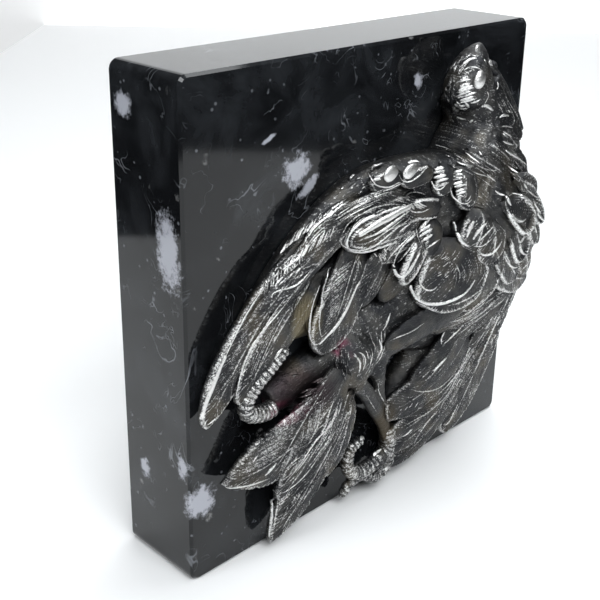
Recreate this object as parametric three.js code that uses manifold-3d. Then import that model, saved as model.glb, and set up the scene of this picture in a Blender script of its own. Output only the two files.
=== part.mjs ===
// A cast metal bird laid against the face of a square block of polished marble.
// Millimetres, +Z up, front towards -Y. The origin is the middle of the block's underside.

import * as THREE from 'three';
import { mergeVertices } from 'three/addons/utils/BufferGeometryUtils.js';
import Module from 'manifold-3d';

const wasm = await Module();
wasm.setup();

// The marble block
const blockSide = 150;
const blockDepth = 30;
const cornerRadius = 3;
const arrisEase = 0.8;

// The casting: its length from beak to tail tip, and the bed of adhesive behind it
const birdLength = 155;
const bondGap = 0.3;
const featherThickness = 2.2;
const legRadius = 2.5;
const toeRadius = 2;
const ringRise = 0.45;

// The bird is drawn at this length, over a face this high, and scaled from there
const drawnLength = 155;
const drawnFace = 150;
const scale = birdLength / drawnLength;

// Shares of a feather's length where a section stands; a feather ends in a point past the last
const fineStations = [0, 0.34, 0.66, 0.87, 0.97];
const plainStations = [0, 0.45, 0.8, 0.95];

// Sections, as [across, up] shares of half a width and of a height
const slimSection = [[-1, 0], [0, 1], [1, 0], [0, -2.2]];
const bladeSection = [[-1, 0], [-0.6, 0.75], [0, 1], [0.6, 0.75], [1, 0], [0, -1.4]];
const rimmedSection = [
  [-1, 0], [-0.88, 0.95], [-0.6, 0.45], [0, 0.9], [0.6, 0.45], [0.88, 0.95], [1, 0], [0, -1.3],
];
const moundSection = [[-0.9, -0.2], [-1, 0.36], [-0.62, 0.88], [0, 1], [0.62, 0.88], [1, 0.36], [0.9, -0.2]];

// A point of the casting from the drawing: x and z on the block's face, h out from the face
function spot([x, z, h]) {
  return new THREE.Vector3(x * scale, -h * scale, (z - drawnFace / 2) * scale);
}

// A closed solid through a row of equal rings of points, ended by a fan at each end
function skin(rings, startPoint, endPoint) {
  const count = rings[0].length;
  const points = [startPoint, ...rings.flat(), endPoint];
  const last = points.length - 1;
  const faces = [];
  for (let side = 0; side < count; side += 1) {
    const next = (side + 1) % count;
    faces.push(0, 1 + next, 1 + side);
    for (let ring = 0; ring < rings.length - 1; ring += 1) {
      const a = 1 + ring * count + side;
      const b = 1 + ring * count + next;
      faces.push(a, b, b + count, a, b + count, a + count);
    }
    faces.push(last, last - count + side, last - count + next);
  }
  return closedSolid(points, faces);
}

// The solid of a closed set of triangles, turned so that its faces point out
function closedSolid(points, faces) {
  let volume = 0;
  for (let i = 0; i < faces.length; i += 3) {
    const [a, b, c] = [points[faces[i]], points[faces[i + 1]], points[faces[i + 2]]];
    volume += a.dot(new THREE.Vector3().crossVectors(b, c));
  }
  const triVerts = Uint32Array.from(volume < 0 ? faces.reverse() : faces);
  const vertProperties = Float32Array.from(points.flatMap((point) => point.toArray()));
  return new wasm.Manifold(new wasm.Mesh({ numProp: 3, vertProperties, triVerts }));
}

// The solid of a three.js geometry
function solidOf(geometry) {
  const bare = geometry.clone();
  bare.deleteAttribute('normal');
  bare.deleteAttribute('uv');
  const merged = mergeVertices(bare.index ? bare.toNonIndexed() : bare, 1e-4);
  const vertProperties = Float32Array.from(merged.attributes.position.array);
  const triVerts = Uint32Array.from(merged.index.array);
  return new wasm.Manifold(new wasm.Mesh({ numProp: 3, vertProperties, triVerts }));
}

// The three.js geometry of a solid
function geometryOf(solid) {
  const mesh = solid.getMesh();
  const geometry = new THREE.BufferGeometry();
  geometry.setAttribute('position', new THREE.BufferAttribute(mesh.vertProperties, 3));
  geometry.setIndex(new THREE.BufferAttribute(mesh.triVerts, 1));
  geometry.computeVertexNormals();
  return geometry;
}

// The direction across a line on the block's face, square to its run
function acrossOf(direction) {
  return new THREE.Vector3(direction.z, 0, -direction.x).normalize();
}

// How wide a feather is at a share t of its length, as a share of its full half width
function featherWidth(t) {
  const shoulder = 0.45 + 0.55 * Math.sin(Math.min(t / 0.4, 1) * Math.PI / 2);
  const nib = Math.sqrt(Math.max(0, 1 - Math.max(0, (t - 0.66) / 0.34) ** 2));
  return shoulder * nib;
}

// A feather: a crowned blade from its root to its tip, bowed sideways and arched out a little
function feather({ root, tip, width, bow = 0, arch = 1, thick = 1, fine = false, rimmed = false }) {
  const start = spot(root);
  const end = spot(tip);
  const run = new THREE.Vector3().subVectors(end, start);
  const middle = new THREE.Vector3().addVectors(start, end).multiplyScalar(0.5);
  middle.addScaledVector(acrossOf(run), 2 * bow * scale);
  middle.y -= 2 * arch * scale;
  const line = new THREE.QuadraticBezierCurve3(start, middle, end);
  const section = rimmed ? rimmedSection : (fine ? bladeSection : slimSection);
  const stations = rimmed ? fineStations : plainStations;
  const half = thick * featherThickness * scale / 2;
  const rings = stations.map((t) => {
    const centre = line.getPoint(t);
    const across = acrossOf(line.getTangent(t));
    const reach = width * scale * featherWidth(t);
    const crown = half * (0.55 + 0.45 * featherWidth(t));
    return section.map(([u, v]) => new THREE.Vector3(
      centre.x + across.x * reach * u,
      centre.y - crown * v,
      centre.z + across.z * reach * u,
    ));
  });
  return skin(rings, start, end);
}

// A row of feathers that change evenly from the first to the last
function featherRow(first, last, count) {
  const between = (a, b, t) => a.map((value, i) => value + (b[i] - value) * t);
  return Array.from({ length: count }, (_, index) => {
    const t = count > 1 ? index / (count - 1) : 0;
    return feather({
      ...first,
      root: between(first.root, last.root, t),
      tip: between(first.tip, last.tip, t),
      width: first.width + (last.width - first.width) * t,
      bow: (first.bow ?? 0) + ((last.bow ?? 0) - (first.bow ?? 0)) * t,
    });
  });
}

// A mound of flesh under the feathers: stations of [x, z, crown height, half width],
// standing on the block's face unless its underside is lifted clear by low
function mound(stations, low = 0, steps = Math.ceil(stations.length * 1.5)) {
  const line = new THREE.CatmullRomCurve3(stations.map(([x, z]) => spot([x, z, 0])));
  const sizes = new THREE.CatmullRomCurve3(stations.map(([, , h, w]) => new THREE.Vector3(h, w, 0)));
  const rings = Array.from({ length: steps }, (_, index) => {
    const t = index / (steps - 1);
    const centre = line.getPoint(t);
    const across = acrossOf(line.getTangent(t));
    const { x: crown, y: half } = sizes.getPoint(t);
    return moundSection.map(([u, v]) => new THREE.Vector3(
      centre.x + across.x * half * scale * u,
      -(low + (crown - low) * v) * scale,
      centre.z + across.z * half * scale * u,
    ));
  });
  const capPoint = (ring) => ring.reduce((sum, point) => sum.add(point), new THREE.Vector3())
    .divideScalar(ring.length);
  return skin(rings, capPoint(rings[0]), capPoint(rings[steps - 1]));
}

// A round limb along a line of points; its scales stand up as rings
function limb(points, radius, { steps = 7, sides = 5, rings = 0, taper = 0.6 } = {}) {
  const line = new THREE.CatmullRomCurve3(points.map(spot));
  const loops = Array.from({ length: steps }, (_, index) => {
    const t = index / (steps - 1);
    const centre = line.getPoint(t);
    const tangent = line.getTangent(t);
    const across = acrossOf(tangent);
    const out = new THREE.Vector3().crossVectors(across, tangent).normalize();
    const bulge = rings && index % 2 ? ringRise : 0;
    const size = (radius * (1 - (1 - taper) * t * t) + bulge) * scale;
    return Array.from({ length: sides }, (_unused, side) => {
      const angle = 2 * Math.PI * side / sides;
      return centre.clone()
        .addScaledVector(across, size * Math.cos(angle))
        .addScaledVector(out, size * Math.sin(angle));
    });
  });
  return skin(loops, line.getPoint(0), line.getPoint(1));
}

// An egg-shaped swelling: centre, half sizes along and across its run, and its turn on the face
function swelling(centre, along, across, out, turn = 0, detail = 8) {
  const ball = new THREE.SphereGeometry(1, detail, Math.round(detail * 0.75));
  ball.scale(along * scale, out * scale, across * scale);
  ball.rotateY(-turn);
  const { x, y, z } = spot(centre);
  ball.translate(x, y, z);
  return solidOf(ball);
}

// Flesh: body, neck, both wing arms, the hollow webs behind the wings, flank, thighs and tail root
function fleshSolids() {
  return [
    mound([[42, 121, 16.5, 9], [37, 111, 20.5, 13], [34, 99, 26.5, 16], [33, 86, 26.5, 20], [23, 73, 19, 22],
      [8, 65, 14, 15], [-8, 61, 11, 13], [-22, 58, 8.6, 9.6]]),
    mound([[27, 105, 21, 10], [15, 105.6, 17.6, 10], [2, 106.4, 13.4, 9.6], [-12, 105.6, 9.2, 9],
      [-27, 99, 6.8, 8.4], [-42, 89, 5.4, 6.6], [-55, 76.6, 4.4, 4.4], [-63, 66, 3.6, 3]]),
    mound([[16, 92, 18, 9], [3, 89, 13.4, 11], [-12, 84, 8, 11], [-26, 79, 6, 11], [-37, 77, 4.8, 9],
      [-45, 76.4, 4.4, 5.6]]),
    mound([[49, 104, 18, 6], [54, 88, 20, 8], [58, 72, 17, 8], [57, 56, 11, 9], [48, 42, 6.5, 10],
      [40, 26, 4, 8]]),
    mound([[54, 62, 15, 7], [34, 60, 15, 9], [14, 60, 10, 6], [-4, 60, 9, 5]]),
    mound([[36, 52, 7, 7], [24, 48, 5.4, 7.6], [14, 49, 4.8, 6.6], [6, 52.5, 4.2, 4]]),
    mound([[44, 44, 6.4, 10], [36, 28, 4.8, 9], [24, 19, 4, 7], [11, 14, 3.2, 6]]),
    mound([[-17, 58, 9, 9], [-26, 50, 8, 8], [-33, 40, 5.5, 7]]),
    mound([[-27, 60, 7.5, 5], [-36, 56, 5.8, 4.5], [-47, 53, 5, 4]]),
    swelling([-17, 56, 7], 9, 9.5, 6.5),
    swelling([-4, 50.5, 5.5], 6, 5.5, 3.2, 0.5),
  ];
}

// Left wing: primaries, coverts, secondaries and the small round feathers along the shoulder
function leftWingSolids() {
  return [
    feather({ root: [-34, 98, 6.2], tip: [-72.4, 52.8, 3.6], width: 6.4, bow: 4.4, fine: true, rimmed: true }),
    feather({ root: [-32, 91, 6.8], tip: [-62, 57, 5.4], width: 5.2, bow: 2.6, fine: true }),
    feather({ root: [-30, 87, 7.2], tip: [-53.5, 64, 6.2], width: 4, bow: 1.6, fine: true }),
    ...featherRow(
      { root: [-20, 107, 9], tip: [-39, 98.4, 7.4], width: 3 },
      { root: [-43, 92, 7], tip: [-57, 80.5, 5.6], width: 2.2 }, 4),
    ...featherRow(
      { root: [-22, 101.5, 9.2], tip: [-38, 93, 8], width: 2.7 },
      { root: [-37, 91.5, 8], tip: [-50.5, 82.5, 6.8], width: 2.3 }, 3),
    feather({ root: [-17.6, 94, 10.5], tip: [-31.6, 63.6, 8], width: 8.2, bow: -0.8, thick: 1.3, fine: true,
      rimmed: true }),
    feather({ root: [-8, 92, 11], tip: [-18.5, 74.5, 9.4], width: 5.6, fine: true }),
    feather({ root: [2, 88, 12], tip: [-8, 73.5, 10.5], width: 5 }),
    feather({ root: [6, 98.5, 15.5], tip: [-25.5, 97.2, 10], width: 5.6, bow: 1, thick: 1.4, fine: true,
      rimmed: true }),
    feather({ root: [4, 104.8, 14.5], tip: [-21.5, 103, 10.2], width: 3.4, bow: -0.6 }),
    feather({ root: [0, 108.3, 12.6], tip: [-28, 104.6, 8.4], width: 2.9, bow: -1 }),
    feather({ root: [5, 94.6, 16], tip: [-12, 88.6, 11.6], width: 3.6 }),
    ...featherRow(
      { root: [-4, 112.8, 11.8], tip: [-12.5, 111.4, 10], width: 2.3 },
      { root: [7, 112.6, 14.6], tip: [-3.4, 111.4, 12.4], width: 2.8 }, 3),
    feather({ root: [15.4, 110.8, 17.2], tip: [8, 106.4, 15.2], width: 3.1 }),
    feather({ root: [17, 111.4, 18.2], tip: [16, 100, 20], width: 3.1 }),
    feather({ root: [9, 103.4, 17], tip: [-1.4, 102.6, 14.6], width: 2.7 }),
  ];
}

// Back: scapulars from the left shoulder over the spine to the right side, and the mantle
function backSolids() {
  return [
    feather({ root: [2.6, 94.6, 17], tip: [-4.2, 79.2, 14.8], width: 3.9, bow: 0.5, fine: true }),
    feather({ root: [7.4, 98.6, 17.4], tip: [5.6, 87, 16.6], width: 3.6, bow: 0.4 }),
    feather({ root: [21, 98.6, 23], tip: [16, 87.6, 24], width: 4, fine: true }),
    feather({ root: [18, 91, 23.4], tip: [28.4, 80.6, 25.4], width: 4.6, fine: true }),
    feather({ root: [18, 84, 20.5], tip: [25.6, 63.6, 18], width: 7.4, thick: 1.3, fine: true }),
    feather({ root: [13, 89, 20.5], tip: [9, 67.6, 19.4], width: 11.4, thick: 1.6, fine: true, rimmed: true }),
    feather({ root: [29.4, 103, 27], tip: [41.2, 91, 28.6], width: 5, thick: 1.2, fine: true, rimmed: true }),
    feather({ root: [35, 92, 27.4], tip: [47.4, 76.6, 26], width: 5.4, bow: 0.8, fine: true }),
    feather({ root: [29, 87, 25.6], tip: [45, 70.6, 22.8], width: 5, bow: 1, fine: true }),
    feather({ root: [30, 79, 23.4], tip: [58, 65.6, 18.4], width: 5.6, bow: 1.6, fine: true }),
    ...featherRow(
      { root: [38, 106, 24.6], tip: [52.5, 95, 24.2], width: 3.6, bow: -0.8 },
      { root: [48, 82, 24.4], tip: [64, 66.5, 18.6], width: 4.6, bow: -0.8 }, 5),
    ...featherRow(
      { root: [20, 116.5, 16.2], tip: [31, 106.6, 21.4], width: 2.6 },
      { root: [40, 120.5, 17.2], tip: [51, 112, 18.6], width: 2.8 }, 4),
    ...featherRow(
      { root: [23, 106.5, 21.4], tip: [26.5, 94.5, 25], width: 3.2 },
      { root: [36, 112, 21], tip: [50, 104.5, 21.8], width: 3 }, 3),
  ];
}

// Flank: long soft feathers swept across the rump towards the tail
function flankSolids() {
  return [
    feather({ root: [38, 67, 20], tip: [13.5, 55.4, 10.6], width: 5, bow: 1.2, fine: true }),
    feather({ root: [28, 67, 19], tip: [-7, 58, 12], width: 5, bow: 1.4, fine: true }),
    feather({ root: [52, 66, 19], tip: [30, 59, 15], width: 4.4, bow: 1 }),
    feather({ root: [54, 60, 16.5], tip: [24.6, 47, 10], width: 5.4, bow: 2, fine: true }),
    feather({ root: [50, 56, 14.5], tip: [19, 54, 9.4], width: 3.6, bow: 1.6 }),
  ];
}

// Right wing: primaries that sweep down from the wrist, and their coverts at the edge of the block
function rightWingSolids() {
  return [
    feather({ root: [54, 54, 12], tip: [37.6, 5.8, 4], width: 8.8, bow: 0.6, fine: true, rimmed: true }),
    ...featherRow(
      { root: [46, 43, 8], tip: [5.2, 6.4, 4.6], width: 5.2, bow: -7.4, fine: true },
      { root: [43, 48, 9], tip: [3.4, 20, 6.4], width: 5, bow: -8.4, fine: true }, 3),
    feather({ root: [41, 53, 10.6], tip: [-1.4, 30.6, 6.6], width: 7, bow: -7, fine: true }),
    feather({ root: [35.4, 56, 11.4], tip: [10.6, 33.4, 8.4], width: 7.2, bow: -2.2, fine: true, rimmed: true }),
    feather({ root: [59, 68, 16.5], tip: [58.4, 32.6, 6.2], width: 6.6, bow: -0.8, fine: true }),
    ...featherRow(
      { root: [60, 64, 16.2], tip: [57, 42, 8.8], width: 3.4 },
      { root: [50, 60, 15], tip: [42, 42, 10.2], width: 3.4 }, 3),
  ];
}

// Tail: a fan of long feathers that lift clear of the block towards their tips
function tailSolids() {
  return [
    feather({ root: [-20, 47, 10], tip: [-27.4, 19, 7.4], width: 4.6, bow: -0.6, fine: true }),
    feather({ root: [-20, 46, 10.6], tip: [-48.4, 3.4, 4.2], width: 7.4, bow: -0.4, thick: 1.3, fine: true,
      rimmed: true }),
    feather({ root: [-24, 51, 12], tip: [-47.6, 19.4, 6.4], width: 6, bow: -0.2, thick: 1.2, fine: true }),
    feather({ root: [-25, 56, 12.8], tip: [-66.6, 32, 3.8], width: 9.4, bow: -4.4, thick: 1.2, fine: true,
      rimmed: true }),
  ];
}

// Legs: feathered thighs, ringed shanks and the clenched toes with their claws
function legSolids() {
  return [
    ...featherRow(
      { root: [-24, 63, 12.4], tip: [-22.5, 50, 11.4], width: 2, bow: 1 },
      { root: [-11.4, 64, 12.6], tip: [-11.6, 48.4, 10.8], width: 2.4, bow: -1.4 }, 3),
    limb([[-16, 48, 9], [-9.6, 38, 8], [-3, 30, 7], [2.6, 22, 6.4]], legRadius * 1.2, { taper: 0.75 }),
    limb([[2.4, 24, 6.2], [3.2, 16, 6.4], [-4, 12.6, 6.6], [-12.6, 12.4, 6], [-15.6, 17, 5.6],
      [-14.8, 22.4, 6.2], [-9.6, 24.8, 6.8]], toeRadius, { steps: 13, rings: 1, taper: 0.45 }),
    limb([[3, 18, 6], [4, 9, 5.6], [-2, 6.6, 5.6], [-8, 9.4, 5.2], [-13.6, 8, 4.8], [-16, 3.6, 3.6]],
      toeRadius, { steps: 11, rings: 1, taper: 0.45 }),
    limb([[-1, 16.4, 6.4], [-0.6, 13.6, 8.4], [-5, 12.2, 9]], toeRadius * 0.7, { steps: 4, taper: 0.3 }),
    limb([[-34, 52, 5], [-44, 48.6, 4.6], [-52, 49.4, 4.6], [-57.4, 53.6, 5], [-57, 59.4, 5.6],
      [-51.6, 63.4, 6.6], [-46, 66.4, 7.8], [-43.6, 69, 8]], toeRadius * 1.15,
      { steps: 15, rings: 1, taper: 0.55 }),
    limb([[-38, 58, 5.6], [-46, 58, 5.2], [-52.6, 61, 5.6]], toeRadius * 1.1, { steps: 5 }),
  ];
}

// Head: turned aside on the neck, with its beak, eye, ear feathers and the ridge of the nape
function headSolids() {
  return [
    mound([[41, 116, 17.5, 12], [39, 123, 14.6, 9.4], [35, 129, 14, 8.6], [31, 135, 13, 8.6]], 0, 6),
    swelling([30.4, 136.4, 8.4], 9.6, 8.8, 7.4, 0.2, 9),
    limb([[24, 141.4, 8.6], [29, 143.6, 9.4], [33.4, 145.4, 9], [36.4, 146.6, 8]], 3.2,
      { steps: 6, sides: 6, taper: 0.25 }),
    limb([[25, 139, 10.6], [30, 140.6, 11.6], [34.6, 142, 10.6], [38.4, 142.6, 8.6]], 2.4,
      { steps: 6, taper: 0.3 }),
    swelling([42.4, 139.4, 8.2], 2.4, 1.8, 2, 0.1, 6),
    swelling([31.4, 136.8, 13.6], 3.6, 2.6, 2.4, -0.25, 8),
    feather({ root: [30.6, 134.2, 15.4], tip: [20.4, 136.4, 13.4], width: 2.4, arch: 1 }),
    feather({ root: [31, 131.6, 15.4], tip: [21, 132.8, 13.6], width: 2, arch: 1 }),
    feather({ root: [31.6, 130, 15], tip: [22.4, 128.4, 13.4], width: 2.2, arch: 1 }),
    feather({ root: [31, 128.4, 14.6], tip: [40, 124.4, 14.8], width: 2 }),
    limb([[38.4, 139.4, 10], [42.6, 134.4, 11.4], [46.4, 127.8, 12], [50, 121.6, 12.6], [52, 116, 13]], 2.4,
      { steps: 7, taper: 0.9 }),
    feather({ root: [36, 121.6, 17], tip: [48.4, 123.4, 16.2], width: 2 }),
  ];
}

// The whole casting is one piece of metal with a flat back and no hollow inside
function birdGeometry() {
  const joined = wasm.Manifold.union([
    ...fleshSolids(), ...leftWingSolids(), ...backSolids(), ...flankSolids(),
    ...rightWingSolids(), ...tailSolids(), ...legSolids(), ...headSolids(),
  ]);
  const reach = 2 * birdLength;
  const keep = new THREE.BoxGeometry(reach, reach, reach);
  keep.translate(0, -reach / 2, 0);
  const flatBacked = joined.intersect(solidOf(keep));
  // A pocket shut in between the feathers is metal too: only the outer surface is kept
  const outside = flatBacked.decompose().filter((body) => body.volume() > 0);
  return geometryOf(wasm.Manifold.union(outside));
}

// The block stands upright: rounded corners, and a fine chamfer along every arris
function blockGeometry() {
  const half = blockSide / 2 - arrisEase;
  const radius = cornerRadius - arrisEase;
  const face = new THREE.Shape();
  face.absarc(half - radius, half - radius, radius, 0, Math.PI / 2);
  face.absarc(radius - half, half - radius, radius, Math.PI / 2, Math.PI);
  face.absarc(radius - half, radius - half, radius, Math.PI, 1.5 * Math.PI);
  face.absarc(half - radius, radius - half, radius, 1.5 * Math.PI, 2 * Math.PI);
  face.closePath();
  const geometry = new THREE.ExtrudeGeometry(face, {
    depth: blockDepth - 2 * arrisEase,
    bevelEnabled: true,
    bevelThickness: arrisEase,
    bevelSize: arrisEase,
    bevelSegments: 1,
    curveSegments: 4,
  });
  geometry.translate(0, 0, arrisEase - blockDepth / 2);
  geometry.rotateX(Math.PI / 2);
  geometry.translate(0, 0, blockSide / 2);
  return geometryOf(solidOf(geometry));
}

const marble = new THREE.MeshStandardMaterial({ color: 0x17181b, roughness: 0.12, metalness: 0 });
const silver = new THREE.MeshStandardMaterial({ color: 0x9b9a98, roughness: 0.3, metalness: 1 });

const block = new THREE.Mesh(blockGeometry(), marble);
block.name = 'marble_block';

const bird = new THREE.Mesh(birdGeometry(), silver);
bird.name = 'bird_casting';
bird.position.set(0, -blockDepth / 2 - bondGap, blockSide / 2);

const group = new THREE.Group();
group.add(block, bird);

export default group;
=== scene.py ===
"""A cast and silvered metal bird laid against a polished block of black marble.

The bird is drawn on the block's face in millimetres as (x, z, h): x to the right, z up from
the underside, and h out from the casting's flat back. Blender's metres come in at the end.
"""
import math

import bpy
import numpy as np
from mathutils import Matrix, Vector


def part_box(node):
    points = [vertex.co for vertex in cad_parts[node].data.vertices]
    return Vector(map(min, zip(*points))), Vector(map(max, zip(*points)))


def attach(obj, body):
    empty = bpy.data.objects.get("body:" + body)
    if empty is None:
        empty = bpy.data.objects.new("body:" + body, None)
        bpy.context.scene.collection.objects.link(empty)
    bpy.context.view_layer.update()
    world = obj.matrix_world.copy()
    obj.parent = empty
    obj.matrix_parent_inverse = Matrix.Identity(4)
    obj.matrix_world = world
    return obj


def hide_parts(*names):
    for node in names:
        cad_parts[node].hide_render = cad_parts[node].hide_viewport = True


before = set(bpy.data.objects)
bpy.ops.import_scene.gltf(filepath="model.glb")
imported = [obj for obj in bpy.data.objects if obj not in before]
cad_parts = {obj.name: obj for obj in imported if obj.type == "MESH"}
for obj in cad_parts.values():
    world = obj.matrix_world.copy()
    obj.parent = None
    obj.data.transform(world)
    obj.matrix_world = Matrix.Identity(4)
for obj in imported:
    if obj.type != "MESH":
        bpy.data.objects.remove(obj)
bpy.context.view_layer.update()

MM = 0.001
BIRD = "bird_casting"
BLOCK = "marble_block"
back_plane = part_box(BIRD)[1].y
block_low, block_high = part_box(BLOCK)
luck = np.random.default_rng(46)

LOWEST = 0.06         # how near to the flat back the top of anything may come
BRIGHTEST = 1.4       # the most polish and painted highlight that a point can have


# Curves and closed skins

def curve_through(points, steps):
    """Catmull-Rom: each span is a cubic whose end slopes are half the step between neighbours."""
    p = np.asarray(points, float)
    p = np.vstack([2 * p[0] - p[1], p, 2 * p[-1] - p[-2]])
    along = np.linspace(0, len(p) - 3, steps)
    span = np.minimum(along.astype(int), len(p) - 4)
    f = (along - span)[:, None]
    a, b, c, d = p[span], p[span + 1], p[span + 2], p[span + 3]
    return 0.5 * (2 * b + (c - a) * f + (2 * a - 5 * b + 4 * c - d) * f**2
                  + (3 * b - a - 3 * c + d) * f**3)


def square_to(run):
    """The direction on the block's face that is square to each run (x, z, h)."""
    across = np.stack([run[..., 1], -run[..., 0]], -1)
    return across / np.maximum(np.linalg.norm(across, axis=-1, keepdims=True), 1e-9)


def travelled(line):
    """How far along a line each of its points is."""
    return np.append(0, np.cumsum(np.linalg.norm(np.diff(line, axis=0), axis=1)))


def smooth(low, high, value):
    """0 below low, 1 above high, and 3f^2 - 2f^3 of the share f between them."""
    f = np.clip((value - low) / (high - low), 0, 1)
    return f * f * (3 - 2 * f)


def ripple(turns):
    """A wave from 0 to 1 that peaks at whole turns."""
    return 0.5 + 0.5 * np.cos(2 * np.pi * turns)


def skin(rings, start, end, polish=0.0, uv=0.0):
    """A closed surface: equal rings of points joined by quads, and a fan at each end."""
    count, sides, _ = rings.shape
    points = np.vstack([rings.reshape(-1, 3), start, end])
    ring, side = np.meshgrid(np.arange(count - 1), np.arange(sides), indexing="ij")
    here, there, following = ring * sides, (ring + 1) * sides, (side + 1) % sides
    quads = np.stack([here + side, here + following, there + following, there + side], -1).reshape(-1, 4)
    side = np.arange(sides)
    following = (side + 1) % sides
    first, last = np.full(sides, count * sides), np.full(sides, count * sides + 1)
    tail = (count - 1) * sides
    fans = np.vstack([np.stack([first, following, side], -1),
                      np.stack([last, tail + side, tail + following], -1)])
    split = np.vstack([quads[:, [0, 1, 2]], quads[:, [0, 2, 3]], fans])
    a, b, c = points[split[:, 0]], points[split[:, 1]], points[split[:, 2]]
    # (x, z, h) is a left-handed frame once h points to -Y, so a positive volume there is outward
    volume = np.einsum("ij,ij->i", a, np.cross(b, c)).sum()
    if volume < 0:
        quads, fans = quads[:, ::-1], fans[:, ::-1]
    polish = polish + np.zeros((count, sides))
    uv = uv + np.zeros((count, sides, 2))
    return {"points": points, "quads": quads, "fans": fans,
            "polish": np.append(polish.ravel(), [polish[0].mean(), polish[-1].mean()]),
            "uv": np.vstack([uv.reshape(-1, 2), uv[0, 0], uv[-1, 0]])}


# Meshes and pieces

def to_metres(points):
    """(x, z, h) in millimetres to the frame's metres."""
    return np.stack([points[:, 0] * MM, back_plane - points[:, 2] * MM, points[:, 1] * MM], -1)


def mesh_of(name, skins):
    """One mesh from closed skins, with each point's polish and painted highlight and its place on the vane.
    """
    shifts = np.cumsum([0] + [len(s["points"]) for s in skins[:-1]])
    points = to_metres(np.vstack([s["points"] for s in skins]))
    quads = np.vstack([s["quads"] + shift for s, shift in zip(skins, shifts)])
    fans = np.vstack([s["fans"] + shift for s, shift in zip(skins, shifts)])
    corners = np.concatenate([quads.ravel(), fans.ravel()]).astype(np.int32)
    starts = np.concatenate([np.arange(len(quads)) * 4, len(quads) * 4 + np.arange(len(fans)) * 3])
    mesh = bpy.data.meshes.new(name)
    mesh.vertices.add(len(points))
    mesh.vertices.foreach_set("co", points.astype(np.float32).ravel())
    mesh.loops.add(len(corners))
    mesh.loops.foreach_set("vertex_index", corners)
    mesh.polygons.add(len(starts))
    mesh.polygons.foreach_set("loop_start", starts.astype(np.int32))
    mesh.update(calc_edges=True)
    finish_mesh(mesh, np.concatenate([s["polish"] for s in skins]), np.vstack([s["uv"] for s in skins]))
    return mesh


def finish_mesh(mesh, polish, uv):
    """Shades a mesh smooth and stores each point's polish and painted highlight and its place on the vane."""
    corners = np.empty(len(mesh.loops), np.int32)
    mesh.loops.foreach_get("vertex_index", corners)
    mesh.polygons.foreach_set("use_smooth", np.ones(len(mesh.polygons), bool))
    vane = mesh.uv_layers.get("vane") or mesh.uv_layers.new(name="vane")
    vane.data.foreach_set("uv", uv[corners].astype(np.float32).ravel())
    layer = mesh.attributes.get("polish") or mesh.attributes.new("polish", "FLOAT", "POINT")
    layer.data.foreach_set("value", polish.astype(np.float32))


def dress(name, mesh, material):
    """Puts a mesh into the scene as a piece of the bird, in place of the plain casting."""
    mesh.materials.clear()
    mesh.materials.append(material)
    piece = bpy.data.objects.new(name, mesh)
    bpy.context.scene.collection.objects.link(piece)
    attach(piece, "root")
    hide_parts(BIRD)


# The height of what is laid

class Ground:
    """The height of what is laid so far over the block's face, on a square grid."""

    CELL = 0.6
    SPAN = 160
    PINHOLE = 3.0         # a cell this much lower than a neighbour is a gap between points

    def __init__(self):
        self.low = np.array([-80.0, -4.0])
        self.height = np.zeros((int(self.SPAN / self.CELL), int(self.SPAN / self.CELL)))

    def lay(self, points):
        """Raises each cell to the highest of the points (x, z, h) over it."""
        column, line = np.floor((points[:, :2] - self.low) / self.CELL).astype(int).T
        np.maximum.at(self.height, (line, column), points[:, 2])

    def settle(self):
        """Fills pinholes with the highest neighbour, then averages each cell with its neighbours."""
        around = [(i, j) for i in (-1, 0, 1) for j in (-1, 0, 1)]
        filled = np.max([np.roll(self.height, shift, (0, 1)) for shift in around], axis=0)
        sunk = self.height < filled - self.PINHOLE
        plain = np.where(sunk, filled, self.height)
        self.settled = np.mean([np.roll(plain, shift, (0, 1)) for shift in around], axis=0)

    def at(self, x, z):
        """The settled height at places on the face, even between the middles of cells."""
        g = self.settled
        column = np.clip((x - self.low[0]) / self.CELL - 0.5, 0, g.shape[1] - 1.01)
        line = np.clip((z - self.low[1]) / self.CELL - 0.5, 0, g.shape[0] - 1.01)
        i, j = line.astype(int), column.astype(int)
        u, v = line - i, column - j
        return ((1 - u) * (1 - v) * g[i, j] + (1 - u) * v * g[i, j + 1]
                + u * (1 - v) * g[i + 1, j] + u * v * g[i + 1, j + 1])


flesh = Ground()      # the body and the arms of the wings, which feathers lie on
ground = Ground()     # everything laid so far, which strands lie on


# Feathers

GRAIN = 0.34          # distance between points along a feather
ACROSS = 0.36         # and across it
NIB = 0.66            # share of a feather's length where its tip starts to round off
NIB_ARC = 1.25        # how much longer the nib's round edge is than the nib
ROOT_WIDTH = 0.45     # width at the root, as a share of the full width
FULL_AT = 0.4         # share of the length where the full width is reached
PLATE = 2.2           # thickness of a feather of the plain kind
BEDDING = 0.25        # how far a feather's edge stands above the flesh it lies on
HIGHEST_LIFT = 7.0    # the most that flesh lifts a feather
ROOT_SINK = 1.4       # how far a feather's root goes down into the flesh
BUNCH = 5.3           # barbs are cast in bunches of about this many, with a cut between
HOOP = 0.32           # height of the rings inside a feather's edge
EDGE_SHINE = 0.35     # polish of a feather's sides


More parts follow.
